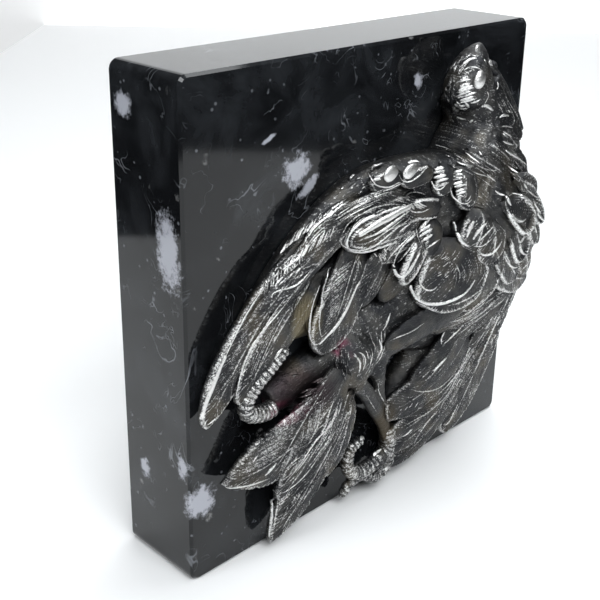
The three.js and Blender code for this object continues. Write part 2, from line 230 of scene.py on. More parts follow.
def blade(root, tip, bow, arch, blunt):
    """A feather's line, the quadratic Bezier from root to tip: each point's share t of it, the point,
    the direction across, and how wide the nib and the feather are there. The width is the sine from
    its root's share up to FULL_AT, then full, then a round nib."""
    middle = (root + tip) / 2
    middle[:2] += 2 * bow * square_to(tip - root)
    middle[2] += 2 * arch
    reach = np.linalg.norm(tip - root)
    body_steps = max(8, int(NIB * reach / GRAIN))
    nib_steps = max(8, int(NIB_ARC * (1 - NIB) * reach / GRAIN))
    turn = np.linspace(0, np.pi / 2, nib_steps, endpoint=False)
    t = np.concatenate([np.linspace(0, NIB, body_steps, endpoint=False), NIB + (1 - NIB) * np.sin(turn)])
    nib = np.concatenate([np.ones(body_steps), np.cos(turn) ** blunt])
    share = (ROOT_WIDTH + (1 - ROOT_WIDTH) * np.sin(np.minimum(t / FULL_AT, 1) * np.pi / 2)) * nib
    f = t[:, None]
    centre = (1 - f) ** 2 * root + 2 * f * (1 - f) * middle + f**2 * tip
    across = square_to(2 * (1 - f) * (middle - root) + 2 * f * (tip - middle))
    return t, centre, across, nib, share


def feather(root, tip, width, bow=0.0, arch=1.0, thick=1.0, wall=1.1, rim=0.0, rim_width=0.9, rings=0,
            ring_pitch=1.7, barb=0.2, pitch=0.85, sweep=1.7, quill=0.3, blunt=1.0, lean=0.0,
            ragged=0.02, hollow=0.0, shine=1.0):
    """A cast feather along its blade. Its top is crowned as 1 - |s|^2.4 of the share s across, and
    carries barbs, which are ridges a pitch apart on the lines (length run - sweep * distance from the
    quill), a lip along the edge and rings beside it. Where the flesh stands higher than the feather,
    the feather lies on the flesh."""
    root, tip = np.asarray(root, float), np.asarray(tip, float)
    t, centre, across, nib, share = blade(root, tip, bow, arch, blunt)
    travel = travelled(centre)
    whole = travel[-1] + np.linalg.norm(tip - centre[-1])

    columns = int(np.clip(2 * width / ACROSS, 9, 64)) // 2 * 2 + 1
    u = np.linspace(-1, 1, columns)
    s = u * (1.25 - 0.25 * u**2)
    start, drift = luck.uniform(0, 1, 2)
    spacing = pitch * math.hypot(1, sweep)
    edge_wave = (travel - sweep * share * width) / spacing + start
    bunches = np.cos(2 * np.pi * (edge_wave / BUNCH + drift))
    notch = ragged * ((0.5 - 0.5 * np.cos(2 * np.pi * edge_wave)) ** 3 + 1.6 * smooth(0.86, 1.0, bunches))
    half = width * share * (1 - notch * smooth(0.12, 0.3, t))
    a = s * half[:, None]
    along = travel[:, None] + 0 * a
    outline = np.vstack([np.stack([travel, half], -1), np.stack([travel, -half], -1), [[whole, 0]]])
    outline = outline[outline[:, 0] > 0.25 * whole]
    inside = np.sqrt(((along[..., None] - outline[:, 0]) ** 2 + (a[..., None] - outline[:, 1]) ** 2).min(-1))

    crown = thick * PLATE / 2 * (0.55 + 0.45 * share[:, None]) * (1 - np.abs(s) ** 2.4)
    wander = 0.22 * np.sin(along * 0.9 + 6 * drift) + 0.16 * np.sin(along * 0.37 + a * 0.8 + 9 * start)
    wave = (along - sweep * np.abs(a)) / spacing + start + wander
    cut = smooth(0.80, 1.0, np.cos(2 * np.pi * (wave / BUNCH + drift)))
    grown = smooth(0.02, 0.16, t)[:, None]
    vane = grown * smooth(0.15, 0.9, inside)
    number = np.floor(wave + 0.5)
    swell = 0.6 + 0.4 * np.sin(number * 2.4 + 9 * start) * np.sin(a * 0.9 + number * 1.7)
    barbs = barb * swell * ripple(wave) ** 2.2 * smooth(0.3, 1.1, np.abs(a)) * vane
    stem = quill * np.exp(-(a / (0.55 - 0.25 * t[:, None])) ** 2) * smooth(1.02, 0.75, t)[:, None]
    lip = rim * np.exp(-((inside - 0.55 * rim_width) / (0.5 * rim_width)) ** 2) * grown
    ringed = smooth((rings + 0.4) * ring_pitch, (rings - 0.2) * ring_pitch, inside) * (rings > 0)
    hoop = HOOP * ripple((inside - 0.5) / ring_pitch) ** 1.5 * ringed * grown
    sink = hollow * smooth(0.8, 2.6, inside) * grown
    top = crown + barbs + stem + lip + hoop - sink - 0.5 * barb * cut * vane
    bright = 0.95 * barbs / max(barb, 1e-3) + 0.9 * stem / max(quill, 1e-3)
    bright = bright + 1.5 * lip + 2.2 * hoop + 0.45 * np.exp(-(inside / 0.35) ** 2) - 0.3 * cut * vane
    bright = np.clip(shine * bright * smooth(-0.05, 0.25, t)[:, None], 0, BRIGHTEST)

    drop = wall * (0.5 + 0.5 * nib)[:, None]
    under = np.linspace(0.94, -0.94, 7)
    low = -drop - 0.5 * thick * share[:, None] * (1 - under**2)
    side = np.array([[1.0]])
    sections = np.hstack([s + 0 * top, side + 0 * drop, under + 0 * low, -side + 0 * drop])
    heights = np.hstack([top, -0.55 * drop, low, -0.55 * drop])
    spread = sections * half[:, None]
    place = centre[:, None, :2] + across[:, None, :] * spread[..., None]
    level = centre[:, None, 2] + lean * spread
    above = flesh.at(place[..., 0], place[..., 1]) + BEDDING - level
    level = level + np.clip(0.5 * np.logaddexp(0, above / 0.5), 0, HIGHEST_LIFT)
    level = level - ROOT_SINK * (1 - smooth(0.0, 0.2, t))[:, None]
    solid = np.concatenate([place, np.maximum(level + heights, LOWEST)[..., None]], -1)
    edge = EDGE_SHINE * shine + 0 * drop
    polish = np.hstack([bright, edge, 0 * low, edge])
    uv = np.stack([travel[:, None] - sweep * np.abs(spread), spread], -1) / 10
    return skin(solid, centre[0], tip + [0, 0, -0.3 * wall], polish, uv)


def between(first, last, share):
    """A value, or each value of a point, at a share of the way from the first to the last."""
    return np.asarray(first, float) * (1 - share) + np.asarray(last, float) * share


def row(count, roots, tips, widths, bows=(0, 0), **style):
    """A row of feathers that change evenly from the first to the last."""
    return [feather(between(*roots, f), between(*tips, f), float(between(*widths, f)),
                    bow=float(between(*bows, f)), **style) for f in np.linspace(0, 1, count)]


# Flesh: sections are [across, up] in shares, mounds are stations of [x, z, crown, half width], and
# the beak and the shanks are points [x, z, h]. An egg is its middle, three half sizes and its turn

MOUND = np.array([[-0.9, -0.2], [-1, 0.1], [-1, 0.36], [-0.86, 0.66], [-0.62, 0.88], [-0.3, 0.98], [0, 1],
                  [0.3, 0.98], [0.62, 0.88], [0.86, 0.66], [1, 0.36], [1, 0.1], [0.9, -0.2]])
LEDGE = np.array([[-0.62, -0.2], [-0.72, 0.2], [-0.9, 0.5], [-1, 0.74], [-0.94, 0.9], [-0.7, 0.99],
                  [-0.3, 1.0], [0.3, 1.0], [0.7, 0.96], [0.9, 0.8], [1, 0.5], [0.9, 0.2], [0.8, -0.2]])

BODY = [[42, 121, 16.5, 9], [37, 111, 20.5, 13], [34, 99, 26.5, 16], [33, 86, 26.5, 20], [23, 73, 19, 22],
        [8, 65, 14, 15], [-8, 61, 11, 13], [-22, 58, 8.6, 9.6]]
LEFT_ARM = [[27, 105, 21, 10], [15, 105.6, 17.6, 10], [2, 106.4, 13.4, 9.6], [-12, 105.6, 9.2, 9],
            [-27, 99, 6.8, 8.4], [-42, 89, 5.4, 6.6], [-55, 76.6, 4.4, 4.4], [-63, 66, 3.6, 3]]
LEFT_WEB = [[16, 92, 18, 9], [3, 89, 13.4, 11], [-12, 84, 9, 11], [-26, 79, 7.6, 11], [-37, 77, 7, 9.4],
            [-46, 76.6, 5.6, 6.4]]
RIGHT_ARM = [[46, 122, 9, 4], [47.5, 112, 17, 6.5], [50, 102, 20.5, 7.5], [53.5, 88, 22, 8],
             [57.5, 73, 18, 8], [56, 57, 10.5, 8.5], [47, 42, 6.2, 9], [40, 26, 4, 8]]
FLANK = [[54, 62, 15, 7], [34, 60, 15, 9], [14, 60, 10, 6], [-4, 60, 9, 5]]
RIGHT_WEB = [[36, 54, 10, 8], [26, 52.5, 9.4, 7.6], [16, 53, 8.6, 6.4], [8, 55.5, 7.4, 4]]
RIGHT_FILL = [[32, 50, 9, 7], [20, 41.5, 7.4, 7], [13, 35, 6, 6], [9, 28, 4.6, 5]]
RIGHT_UNDER = [[44, 44, 6.4, 10], [36, 28, 4.8, 9], [24, 19, 4, 7], [11, 14, 3.2, 6]]
TAIL_ROOT = [[-17, 58, 9, 9], [-26, 50, 8, 8], [-33, 40, 5.5, 7]]
LEFT_LEG = [[-24, 58, 8.5, 7], [-34, 55, 7.6, 6.6], [-41, 53, 7, 6], [-48, 51, 5.6, 5]]
NECK = [[45, 114, 18.5, 13], [43, 121, 16.4, 12.4], [40, 128, 15, 11], [36.8, 134, 14, 10]]
BEAK = [[31, 135.6, 8.6], [32.8, 140.4, 8.5], [35.2, 143.9, 8.1], [37.6, 146.6, 7.4]]
SHANK = [[-16, 48, 9], [-10.4, 41.6, 8.2], [-4.7, 33.5, 7.2], [0.1, 25.8, 6.8], [2.4, 19, 6.4]]
INNER_SHANK = [[-4, 53, 8], [-3.6, 45, 7.2], [-2, 37, 6.6], [1, 29, 6.4]]
EGGS = {"thigh": ([-17, 56, 7], 9, 9.5, 6.5), "inner_thigh": ([-4, 50.5, 5.5], 6, 5.5, 3.2, 0.5),
        "shoulder_blade": ([19.5, 98, 11], 7, 6.5, 8), "skull": ([31.2, 134.4, 8.6], 8.8, 7.6, 7.0, 0.25)}

FLESH_VOXEL = 0.62    # millimetres
FLESH_ROUNDS = 6      # of smoothing
MOUND_STEPS = 48
EGG_STEPS = 24
LIMB_GRAIN = 0.3      # distance between the rings of points of a limb


def mound(stations, profile):
    """Flesh along a path: the same section at every step, as wide and high as the stations say."""
    spine = curve_through([[x, z, 0] for x, z, _, _ in stations], MOUND_STEPS)
    size = curve_through([[crown, half, 0] for _, _, crown, half in stations], MOUND_STEPS)
    across = square_to(np.gradient(spine, axis=0))
    rings = np.empty((MOUND_STEPS, len(profile), 3))
    rings[..., :2] = spine[:, None, :2] + across[:, None, :] * (profile[:, 0] * size[:, 1:2])[..., None]
    rings[..., 2] = profile[:, 1] * size[:, 0:1]
    return skin(rings, rings[0].mean(0), rings[-1].mean(0))


def swelling(centre, along, across, out, turn=0.0, shine=0.0):
    """An egg: rings of latitude on an ellipsoid, turned on the face."""
    latitude = np.linspace(0, np.pi, EGG_STEPS)[1:-1, None]
    longitude = np.linspace(0, 2 * np.pi, EGG_STEPS, endpoint=False)[None]
    x = along * np.sin(latitude) * np.cos(longitude)
    z = across * np.sin(latitude) * np.sin(longitude)
    h = out * np.cos(latitude) + 0 * longitude
    c, s = math.cos(turn), math.sin(turn)
    rings = np.stack([c * x - s * z, s * x + c * z, h], -1) + centre
    polish = shine * (0.6 + 0.4 * np.cos(latitude)) + 0 * longitude
    return skin(rings, np.add(centre, [0, 0, out]), np.subtract(centre, [0, 0, out]), polish)


def limb(points, radius, taper, scute_rise=0.0, scute_pitch=1.9, sides=16, shine=0.8, flat=1.0):
    """A round limb along a line; its radius falls as t^2, and its scales stand up as rings."""
    steps = max(10, int(travelled(curve_through(points, 60))[-1] / LIMB_GRAIN))
    line = curve_through(points, steps)
    tangent = np.gradient(line, axis=0)
    tangent /= np.linalg.norm(tangent, axis=1, keepdims=True)
    level = square_to(tangent)
    level = np.stack([level[:, 0], level[:, 1], 0 * level[:, 0]], -1)
    out = np.cross(level, tangent)
    out *= np.sign(out[:, 2:3] + 1e-9)
    travel = travelled(line)
    t = travel / travel[-1]
    scute = np.abs(np.sin(np.pi * travel / scute_pitch)) ** 0.7
    girth = radius * (1 - (1 - taper) * t**2) * np.minimum(1, smooth(1.0, 0.96, t) * 0.6 + 0.4)
    size = (girth + scute_rise * (scute - 0.4))[:, None]
    angle = np.linspace(0, 2 * np.pi, sides, endpoint=False)
    rings = (line[:, None] + level[:, None] * (size * np.cos(angle))[..., None]
             + out[:, None] * (flat * size * np.sin(angle))[..., None])
    rings[..., 2] = np.maximum(rings[..., 2], LOWEST)
    polish = (shine * (0.25 + 0.75 * scute * (scute_rise > 0)))[:, None] * (0.6 + 0.4 * np.sin(angle))
    uv = np.stack([travel[:, None] + 0 * angle, size * angle], -1) / 10
    return skin(rings, line[0], line[-1], np.clip(polish, 0, 1.3), uv)


def blended(name, skins):
    """The skins joined into one surface: a voxel remesh, then smoothing, both applied."""
    raw = bpy.data.objects.new(name + "_raw", mesh_of(name + "_raw", skins))
    bpy.context.scene.collection.objects.link(raw)
    remesh = raw.modifiers.new("join", "REMESH")
    remesh.mode = "VOXEL"
    remesh.voxel_size = FLESH_VOXEL * MM
    soften = raw.modifiers.new("soften", "SMOOTH")
    soften.iterations = FLESH_ROUNDS
    soften.factor = 0.5
    graph = bpy.context.evaluated_depsgraph_get()
    mesh = bpy.data.meshes.new_from_object(raw.evaluated_get(graph), depsgraph=graph)
    mesh.name = name
    scrap = raw.data
    bpy.data.objects.remove(raw)
    bpy.data.meshes.remove(scrap)
    return mesh


def triples(source, field):
    """The points or normals that a mesh holds, as an array."""
    values = np.empty(len(source) * 3, np.float32)
    source.foreach_get(field, values)
    return values.reshape(-1, 3).astype(float)


def plumage(x, z, flow, length, width):
    """Small overlapping scales as a height from 0 to 1: a brick pattern of rounded cells along the
    flow, each cell highest just behind its rounded end."""
    c, s = math.cos(flow), math.sin(flow)
    along, across = c * x + s * z, c * z - s * x
    column = across / width + 0.25 * np.sin(across * 0.5) + 0.2 * np.sin(along * 0.31)
    lane = np.floor(column)
    step = along / length + 0.5 * (lane % 2) + 0.3 * np.sin(lane * 2.4)
    f = step - np.floor(step)
    side = 2 * (column - lane) - 1
    dome = np.clip(1 - side**2, 0, 1) ** 0.5
    return dome * smooth(0.0, 0.75, f) * smooth(1.0, 0.86, f)


def flesh_piece(material):
    """Body, neck, skull, beak, wing arms, the webs behind the wings, flank, thighs, shanks and tail
    root, blended, with low scales on the wing and low locks on the mantle and the thigh."""
    forms = [BODY, LEFT_ARM, LEFT_WEB, RIGHT_ARM, FLANK, RIGHT_WEB, RIGHT_FILL, RIGHT_UNDER, TAIL_ROOT,
             LEFT_LEG, NECK]
    skins = [mound(stations, LEDGE if stations is LEFT_ARM else MOUND) for stations in forms]
    skins += [swelling(*egg) for egg in EGGS.values()]
    skins += [limb(BEAK, 6.7, taper=0.05, sides=20), limb(SHANK, 2.9, taper=0.7, sides=20, flat=0.8),
              limb(INNER_SHANK, 2.5, taper=0.7, flat=0.7)]
    mesh = blended("bird_flesh", skins)
    points = triples(mesh.vertices, "co")
    normals = triples(mesh.vertex_normals, "vector")
    x, z = points[:, 0] / MM, points[:, 2] / MM
    h = (back_plane - points[:, 1]) / MM
    wing = smooth(30, 16, x) * smooth(84, 98, z) * smooth(124, 120, z)
    mantle = smooth(14, 22, x) * smooth(98, 106, z)
    thigh = smooth(-36, -30, x) * smooth(78, 72, z) * smooth(38, 44, z)
    scales = plumage(x, z, 3.45, 1.9, 0.95) * wing
    locks = plumage(x, z, -0.5, 3.4, 1.1) * mantle + plumage(x, z, -2.0, 3.6, 1.2) * thigh
    grain = np.sin(x * 2.1 + 0.6 * np.sin(z * 1.7)) * np.sin(z * 1.9 + 0.8 * np.sin(x * 1.3))
    relief = 0.07 * scales + 0.2 * locks + 0.07 * grain
    points += normals * (relief * smooth(1.5, 4, h) * MM)[:, None]
    points[:, 1] = np.minimum(points[:, 1], back_plane - 0.05 * MM)
    mesh.vertices.foreach_set("co", points.astype(np.float32).ravel())
    mesh.update()
    flow = np.where(x < 20, 0.3, -0.5)
    uv = np.stack([np.cos(flow) * z - np.sin(flow) * x, np.cos(flow) * x + np.sin(flow) * z], -1) / 10
    finish_mesh(mesh, np.clip(0.06 + 0.24 * scales + 0.28 * locks, 0, 1), uv)
    dress("bird_flesh", mesh, material)
    return np.stack([x, z, h], -1)


# The photograph's viewpoint: angles in radians, lengths in metres, focal length and picture in pixels

VIEW = {"azimuth": -0.784465, "elevation": 0.362091, "roll": 0.015627, "distance": 0.33231,
        "side": -0.012329, "rise": 0.008673, "focal": 1020.865, "picture": 600.0, "centre_row": 240.0}


def viewpoint():
    """Where the camera stands and its right, up and back: turned round the block's middle."""
    az, el, roll = VIEW["azimuth"], VIEW["elevation"], VIEW["roll"]
    back = Vector((math.sin(az) * math.cos(el), -math.cos(az) * math.cos(el), math.sin(el)))
    right = Vector((math.cos(az), math.sin(az), 0))
    up = back.cross(right)
    right, up = (math.cos(roll) * right + math.sin(roll) * up, math.cos(roll) * up - math.sin(roll) * right)
    target = Vector((0, 0, block_high.z / 2))
    return target + VIEW["side"] * right + VIEW["rise"] * up + VIEW["distance"] * back, (right, up, back)


# Strands laid on what is there

STRAND = np.array([[-1, -0.9], [-0.6, 0.5], [0, 1], [0.6, 0.5], [1, -0.9], [0, -1.6]])
STRAND_POLISH = np.array([0.1, 0.8, 1.15, 0.8, 0.1, 0.0])
STRAND_GRAIN = 0.45   # distance between the sections of a strand
SHORTEST = 0.8        # a strand shorter than this is left out
JUMP = 1.3            # a line of sight that jumps farther than this has crossed to another surface
HIGHEST = 36.0        # above everything on the bird
GUIDE_STEPS = 24


def seen_on_ground(pixels):
    """Where lines of sight through picture points first meet what is laid, as (x, z)."""
    place, (right, up, back) = viewpoint()
    across = (pixels[:, 0] - VIEW["picture"] / 2) / VIEW["focal"]
    down = (pixels[:, 1] - VIEW["centre_row"]) / VIEW["focal"]
    ray = across[:, None] * np.array(right) - down[:, None] * np.array(up) - np.array(back)
    height = np.arange(HIGHEST, 0.6, -0.15)
    reach = (back_plane - height[None] * MM - place.y) / ray[:, 1:2]
    x = (place.x + ray[:, 0:1] * reach) / MM
    z = (place.z + ray[:, 2:3] * reach) / MM
    met = ground.at(x, z) >= height
    first = met.argmax(1)
    lines = np.arange(len(pixels))
    return np.stack([x[lines, first], z[lines, first]], -1)[met.any(1)]


def averaged(values, reach):
    """Each value's mean with its neighbours on both sides."""
    count = 2 * reach + 1
    return np.convolve(np.pad(values, reach, mode="edge"), np.ones(count) / count, "valid")


def picture_line(guide, steps):
    """A smooth line of picture points through a guide's."""
    return curve_through([(u, v, 0) for u, v in guide], steps)[:, :2]


def strand(width, shine, guide):
    """A low ridge on what is laid, where the eye sees the guide's picture points: as wide as
    width * sin^0.6 along it, with blunter ends the wider it is."""
    flat = seen_on_ground(picture_line(guide, 40))
    if len(flat) < 4:
        return []
    breaks = np.flatnonzero(np.linalg.norm(np.diff(flat, axis=0), axis=1) > JUMP) + 1
    flat = max(np.split(flat, breaks), key=len)
    travel = travelled(flat)
    if travel[-1] < SHORTEST or len(flat) < 4:
        return []
    steps = max(7, int(travel[-1] / STRAND_GRAIN))
    even = np.linspace(0, travel[-1], steps)
    flat = np.stack([averaged(np.interp(even, travel, axis), 2) for axis in flat.T], -1)
    h = averaged(ground.at(flat[:, 0], flat[:, 1]), 1)[:, None]
    t = np.linspace(0, 1, steps)
    blunt = 0.15 + 0.55 * min(width, 1)
    size = np.maximum(np.sin(np.pi * np.clip(t, 0.02, 0.98)) ** 0.6,
                      blunt * smooth(-0.12, 0.06, np.minimum(t, 1 - t)))[:, None]
    rise = 0.16 + 0.32 * width
    across = square_to(np.gradient(flat, axis=0))
    side = flat[:, None] + across[:, None] * (STRAND[:, 0] * width * size)[..., None]
    level = 0.5 * h + 0.5 * np.clip(ground.at(side[..., 0], side[..., 1]), h - 0.8, h + 0.8)
    level = np.maximum(level + STRAND[:, 1] * rise * (0.3 + 0.7 * size), 0.1)
    rings = np.concatenate([side, level[..., None]], -1)
    # Polish follows shine; on the glints and claws it is a painted highlight.
    polish = np.clip(STRAND_POLISH * shine * (0.6 + 0.4 * size), 0, BRIGHTEST)
    return [skin(rings, rings[0].mean(0), rings[-1].mean(0), polish)]


def pad(seen, long, wide, turn, rise, shine=1.5):
    """A low egg where the eye sees one picture point, polished brightest at its top: a painted highlight."""
    x, z = seen_on_ground(np.array([seen], float))[0]
    return [swelling([x, z, float(ground.at(x, z)) - 0.1], long, wide, rise + 0.3, turn, shine)]


def along(guide, share):
    """The picture point at a share of a guide's length in points."""
    line = picture_line(guide, GUIDE_STEPS)
    place = np.clip(share, 0, 1) * (GUIDE_STEPS - 1)
    return np.array([np.interp(place, np.arange(GUIDE_STEPS), axis) for axis in line.T])


def cast_strand(width, shine, guide):
    """A strand that differs a little from its neighbours in width and shine."""
    return strand(width * luck.uniform(0.75, 1.25), shine * luck.uniform(0.6, 1.15), guide)


def comb(count, width, shine, stretch, first, last):
    """Strands side by side between two guides, each over a part of the way, as cast barbs are."""
    made = []
    for f in np.linspace(0, 1, count):
        reach = luck.uniform(*stretch)
        begin = luck.uniform(0, 1 - reach)
        f = np.clip(f + luck.uniform(-0.3, 0.3) / count, 0, 1)
        guide = [between(along(first, t), along(last, t), f) for t in np.linspace(begin, begin + reach, 5)]
        made += cast_strand(width, shine, guide)
    return made


def ladder(count, width, shine, slant, first, last):
    """Barbs from one guide across to the other, each a little farther along where it ends."""
    made = []
    for f in np.linspace(0.02, 0.98 - slant, count) + luck.uniform(-0.25, 0.25, count) / count:
        a, b = along(first, f), along(last, f + slant)
        sag = between(along(first, f + 0.35 * slant), along(last, f + 0.65 * slant), 0.5)
        reach = luck.uniform(0.75, 1.0)
        made += cast_strand(width, shine, [between(a, b, 0.06), sag, between(a, b, reach)])
    return made


def drawn(strokes, combs, ladders, pads):
    """All the strands of a group, from its named strokes, combs, ladders and pads."""
    made = []
    for form, entries in ((pad, pads), (strand, strokes), (comb, combs), (ladder, ladders)):
        for entry in entries.values():
            made += form(*entry)
    return made


# Every guide below is a line on the casting as the photograph shows it, in its pixels. A stroke is
# (half width in mm, shine, guide). A comb is (count, half width, shine, shares of the way that a
# strand covers, two guides). A ladder is (count, half width, shine, slant as a share of the way, two
# guides). A pad is (place in the picture, two half sizes in mm, turn, rise in mm and maybe shine). The
# high shine of the glints, the claws and the pads is a painted highlight.

def wing_strands():
    """Covert streaks, rims and the rings of the long oval feather on the left wing."""
    strokes = {
        "leading_edge": (0.32, 1.2, [(268, 282), (255, 300), (242, 322), (230, 346), (219, 370)]),
        "leading_edge_tip": (1.0, 1.5, [(226, 355), (219, 370), (212, 388), (206, 403), (201, 420)]),
        "first_primary_end": (0.3, 0.9, [(200, 424), (207, 425), (217, 417), (229, 407), (238, 398)]),
        "second_primary_rim": (0.45, 1.2, [(291, 296), (279, 312), (266, 327), (253, 345), (244, 362),
                                           (239, 380), (235, 399)]),
        "second_primary_line": (0.3, 1.0, [(286, 296), (273, 314), (262, 331), (250, 348), (243, 364)]),
        "second_primary_quill": (0.2, 0.9, [(294, 302), (281, 320), (269, 344), (259, 366), (252, 386)]),
        "covert_edge": (0.4, 1.2, [(272, 299), (271, 294), (280, 290), (292, 287), (302, 280), (312, 268)]),
        "secondary_left_edge": (0.35, 1.2, [(320, 284), (314, 300), (310, 316), (309, 334), (312, 345)]),
        "secondary_inner_line": (0.3, 1.0, [(329, 266), (323, 288), (320, 310), (319, 328), (323, 342)]),
        "secondary_end": (0.3, 1.0, [(309, 338), (314, 345), (319, 343), (323, 343)]),
        "secondary_rim": (0.8, 1.35, [(360, 280), (354, 292), (346, 310), (337, 325), (327, 336),
                                      (318, 345)]),
        "secondary_quill": (0.22, 0.9, [(358, 252), (350, 276), (342, 302), (334, 324)]),
        "next_secondary": (0.35, 0.8, [(366, 262), (362, 276), (357, 290)]),
        "oval_outer_rim": (0.4, 1.1, [(341, 236), (341, 244), (350, 249), (362, 250), (374, 246),
                                      (386, 237), (398, 227), (409, 219)]),
        "oval_upper_rim": (0.35, 0.9, [(340, 238), (345, 228), (353, 219), (363, 213), (376, 207),
                                       (392, 204), (406, 206)]),
        "oval_second_ring": (0.3, 0.9, [(352, 243), (362, 244), (375, 239), (388, 230), (400, 221),
                                        (410, 213)]),
        "oval_second_upper": (0.3, 0.9, [(346, 240), (350, 231), (357, 222), (366, 216)]),
        "oval_core": (1.5, 1.5, [(358, 236), (366, 231), (377, 224), (390, 217), (402, 210), (411, 206)]),
        "oval_core_line": (0.6, 1.3, [(366, 238), (378, 233), (390, 225), (402, 216), (410, 210)]),
        "over_the_oval": (0.35, 1.0, [(380, 192), (392, 188), (402, 183), (405, 187)]),
    }
    combs = {
        "upper_streaks": (5, 0.3, 1.1, (0.5, 0.9), [(340, 206), (322, 216), (308, 232), (297, 250)],
                          [(334, 224), (322, 232), (311, 243), (302, 256)]),
        "wrist_lines": (6, 0.33, 0.9, (0.5, 0.9), [(356, 192), (337, 204), (318, 219)],
                        [(352, 212), (340, 220), (330, 226)]),
        "lower_coverts": (10, 0.38, 1.0, (0.25, 0.5), [(300, 248), (289, 258), (278, 270), (270, 280)],
                          [(306, 262), (296, 272), (284, 284), (276, 292)]),
        "small_scales": (14, 0.25, 0.85, (0.12, 0.25), [(286, 254), (276, 266), (266, 280)],
                         [(300, 272), (290, 282), (280, 292)]),
        "second_primary": (5, 0.24, 0.65, (0.5, 0.9), [(284, 306), (268, 328), (254, 350), (243, 380),
                                                       (240, 397)],
                           [(290, 306), (276, 326), (263, 350), (253, 374), (246, 392)]),
        "web": (8, 0.2, 0.25, (0.5, 0.9), [(302, 284), (294, 306), (288, 334)],
                [(316, 286), (308, 310), (306, 338)]),
        "next_secondary": (7, 0.3, 0.55, (0.4, 0.8), [(372, 262), (364, 285), (356, 300)],
                           [(395, 262), (385, 282), (374, 300)]),
        "oval_barbs": (6, 0.25, 0.8, (0.3, 0.6), [(372, 214), (384, 209), (398, 206)],
                       [(376, 222), (390, 215), (404, 209)]),
        "inner_coverts": (8, 0.35, 0.95, (0.4, 0.8), [(378, 252), (390, 240), (402, 229), (412, 222)],
                          [(384, 268), (392, 256), (402, 244), (414, 232)]),
        "under_the_oval": (9, 0.33, 0.9, (0.15, 0.3), [(372, 250), (380, 262), (386, 276)],
                           [(388, 246), (392, 258), (396, 268)]),
        "over_the_oval": (6, 0.35, 1.0, (0.5, 0.95), [(330, 216), (346, 206), (362, 198), (380, 190),
                                                      (392, 186)],
                          [(340, 222), (352, 214), (366, 207), (384, 200), (404, 196)]),
        "shoulder_edge": (8, 0.3, 0.7, (0.2, 0.45), [(336, 190), (346, 180), (358, 170)],
                          [(356, 196), (366, 188), (376, 184)]),
    }
    ladders = {
        "upper_coverts": (14, 0.26, 1.3, 0.1, [(276, 257), (298, 238), (320, 223), (334, 216)],
                          [(286, 238), (304, 223), (322, 211), (336, 204)]),
        "middle_coverts": (13, 0.28, 1.25, 0.1, [(282, 275), (300, 260), (318, 247), (335, 237)],
                           [(290, 257), (306, 243), (322, 231), (336, 222)]),
        "low_coverts": (12, 0.26, 1.1, 0.1, [(262, 300), (276, 286), (292, 272), (308, 260)],
                        [(260, 282), (274, 268), (288, 256), (300, 247)]),
        "secondary_left": (24, 0.2, 0.75, 0.2, [(357, 256), (350, 276), (343, 300), (334, 324)],
                           [(331, 262), (324, 288), (321, 310), (321, 334)]),
        "secondary_right": (10, 0.24, 0.6, 0.12, [(359, 256), (352, 276), (345, 300), (336, 324)],
                            [(366, 262), (358, 282), (349, 302), (338, 322)]),
        "first_primary": (40, 0.2, 0.6, 0.06, [(270, 290), (258, 310), (247, 335), (238, 360), (232, 384)],
                          [(258, 302), (244, 325), (232, 350), (221, 378), (210, 410)]),
    }
    return drawn(strokes, combs, ladders, {})


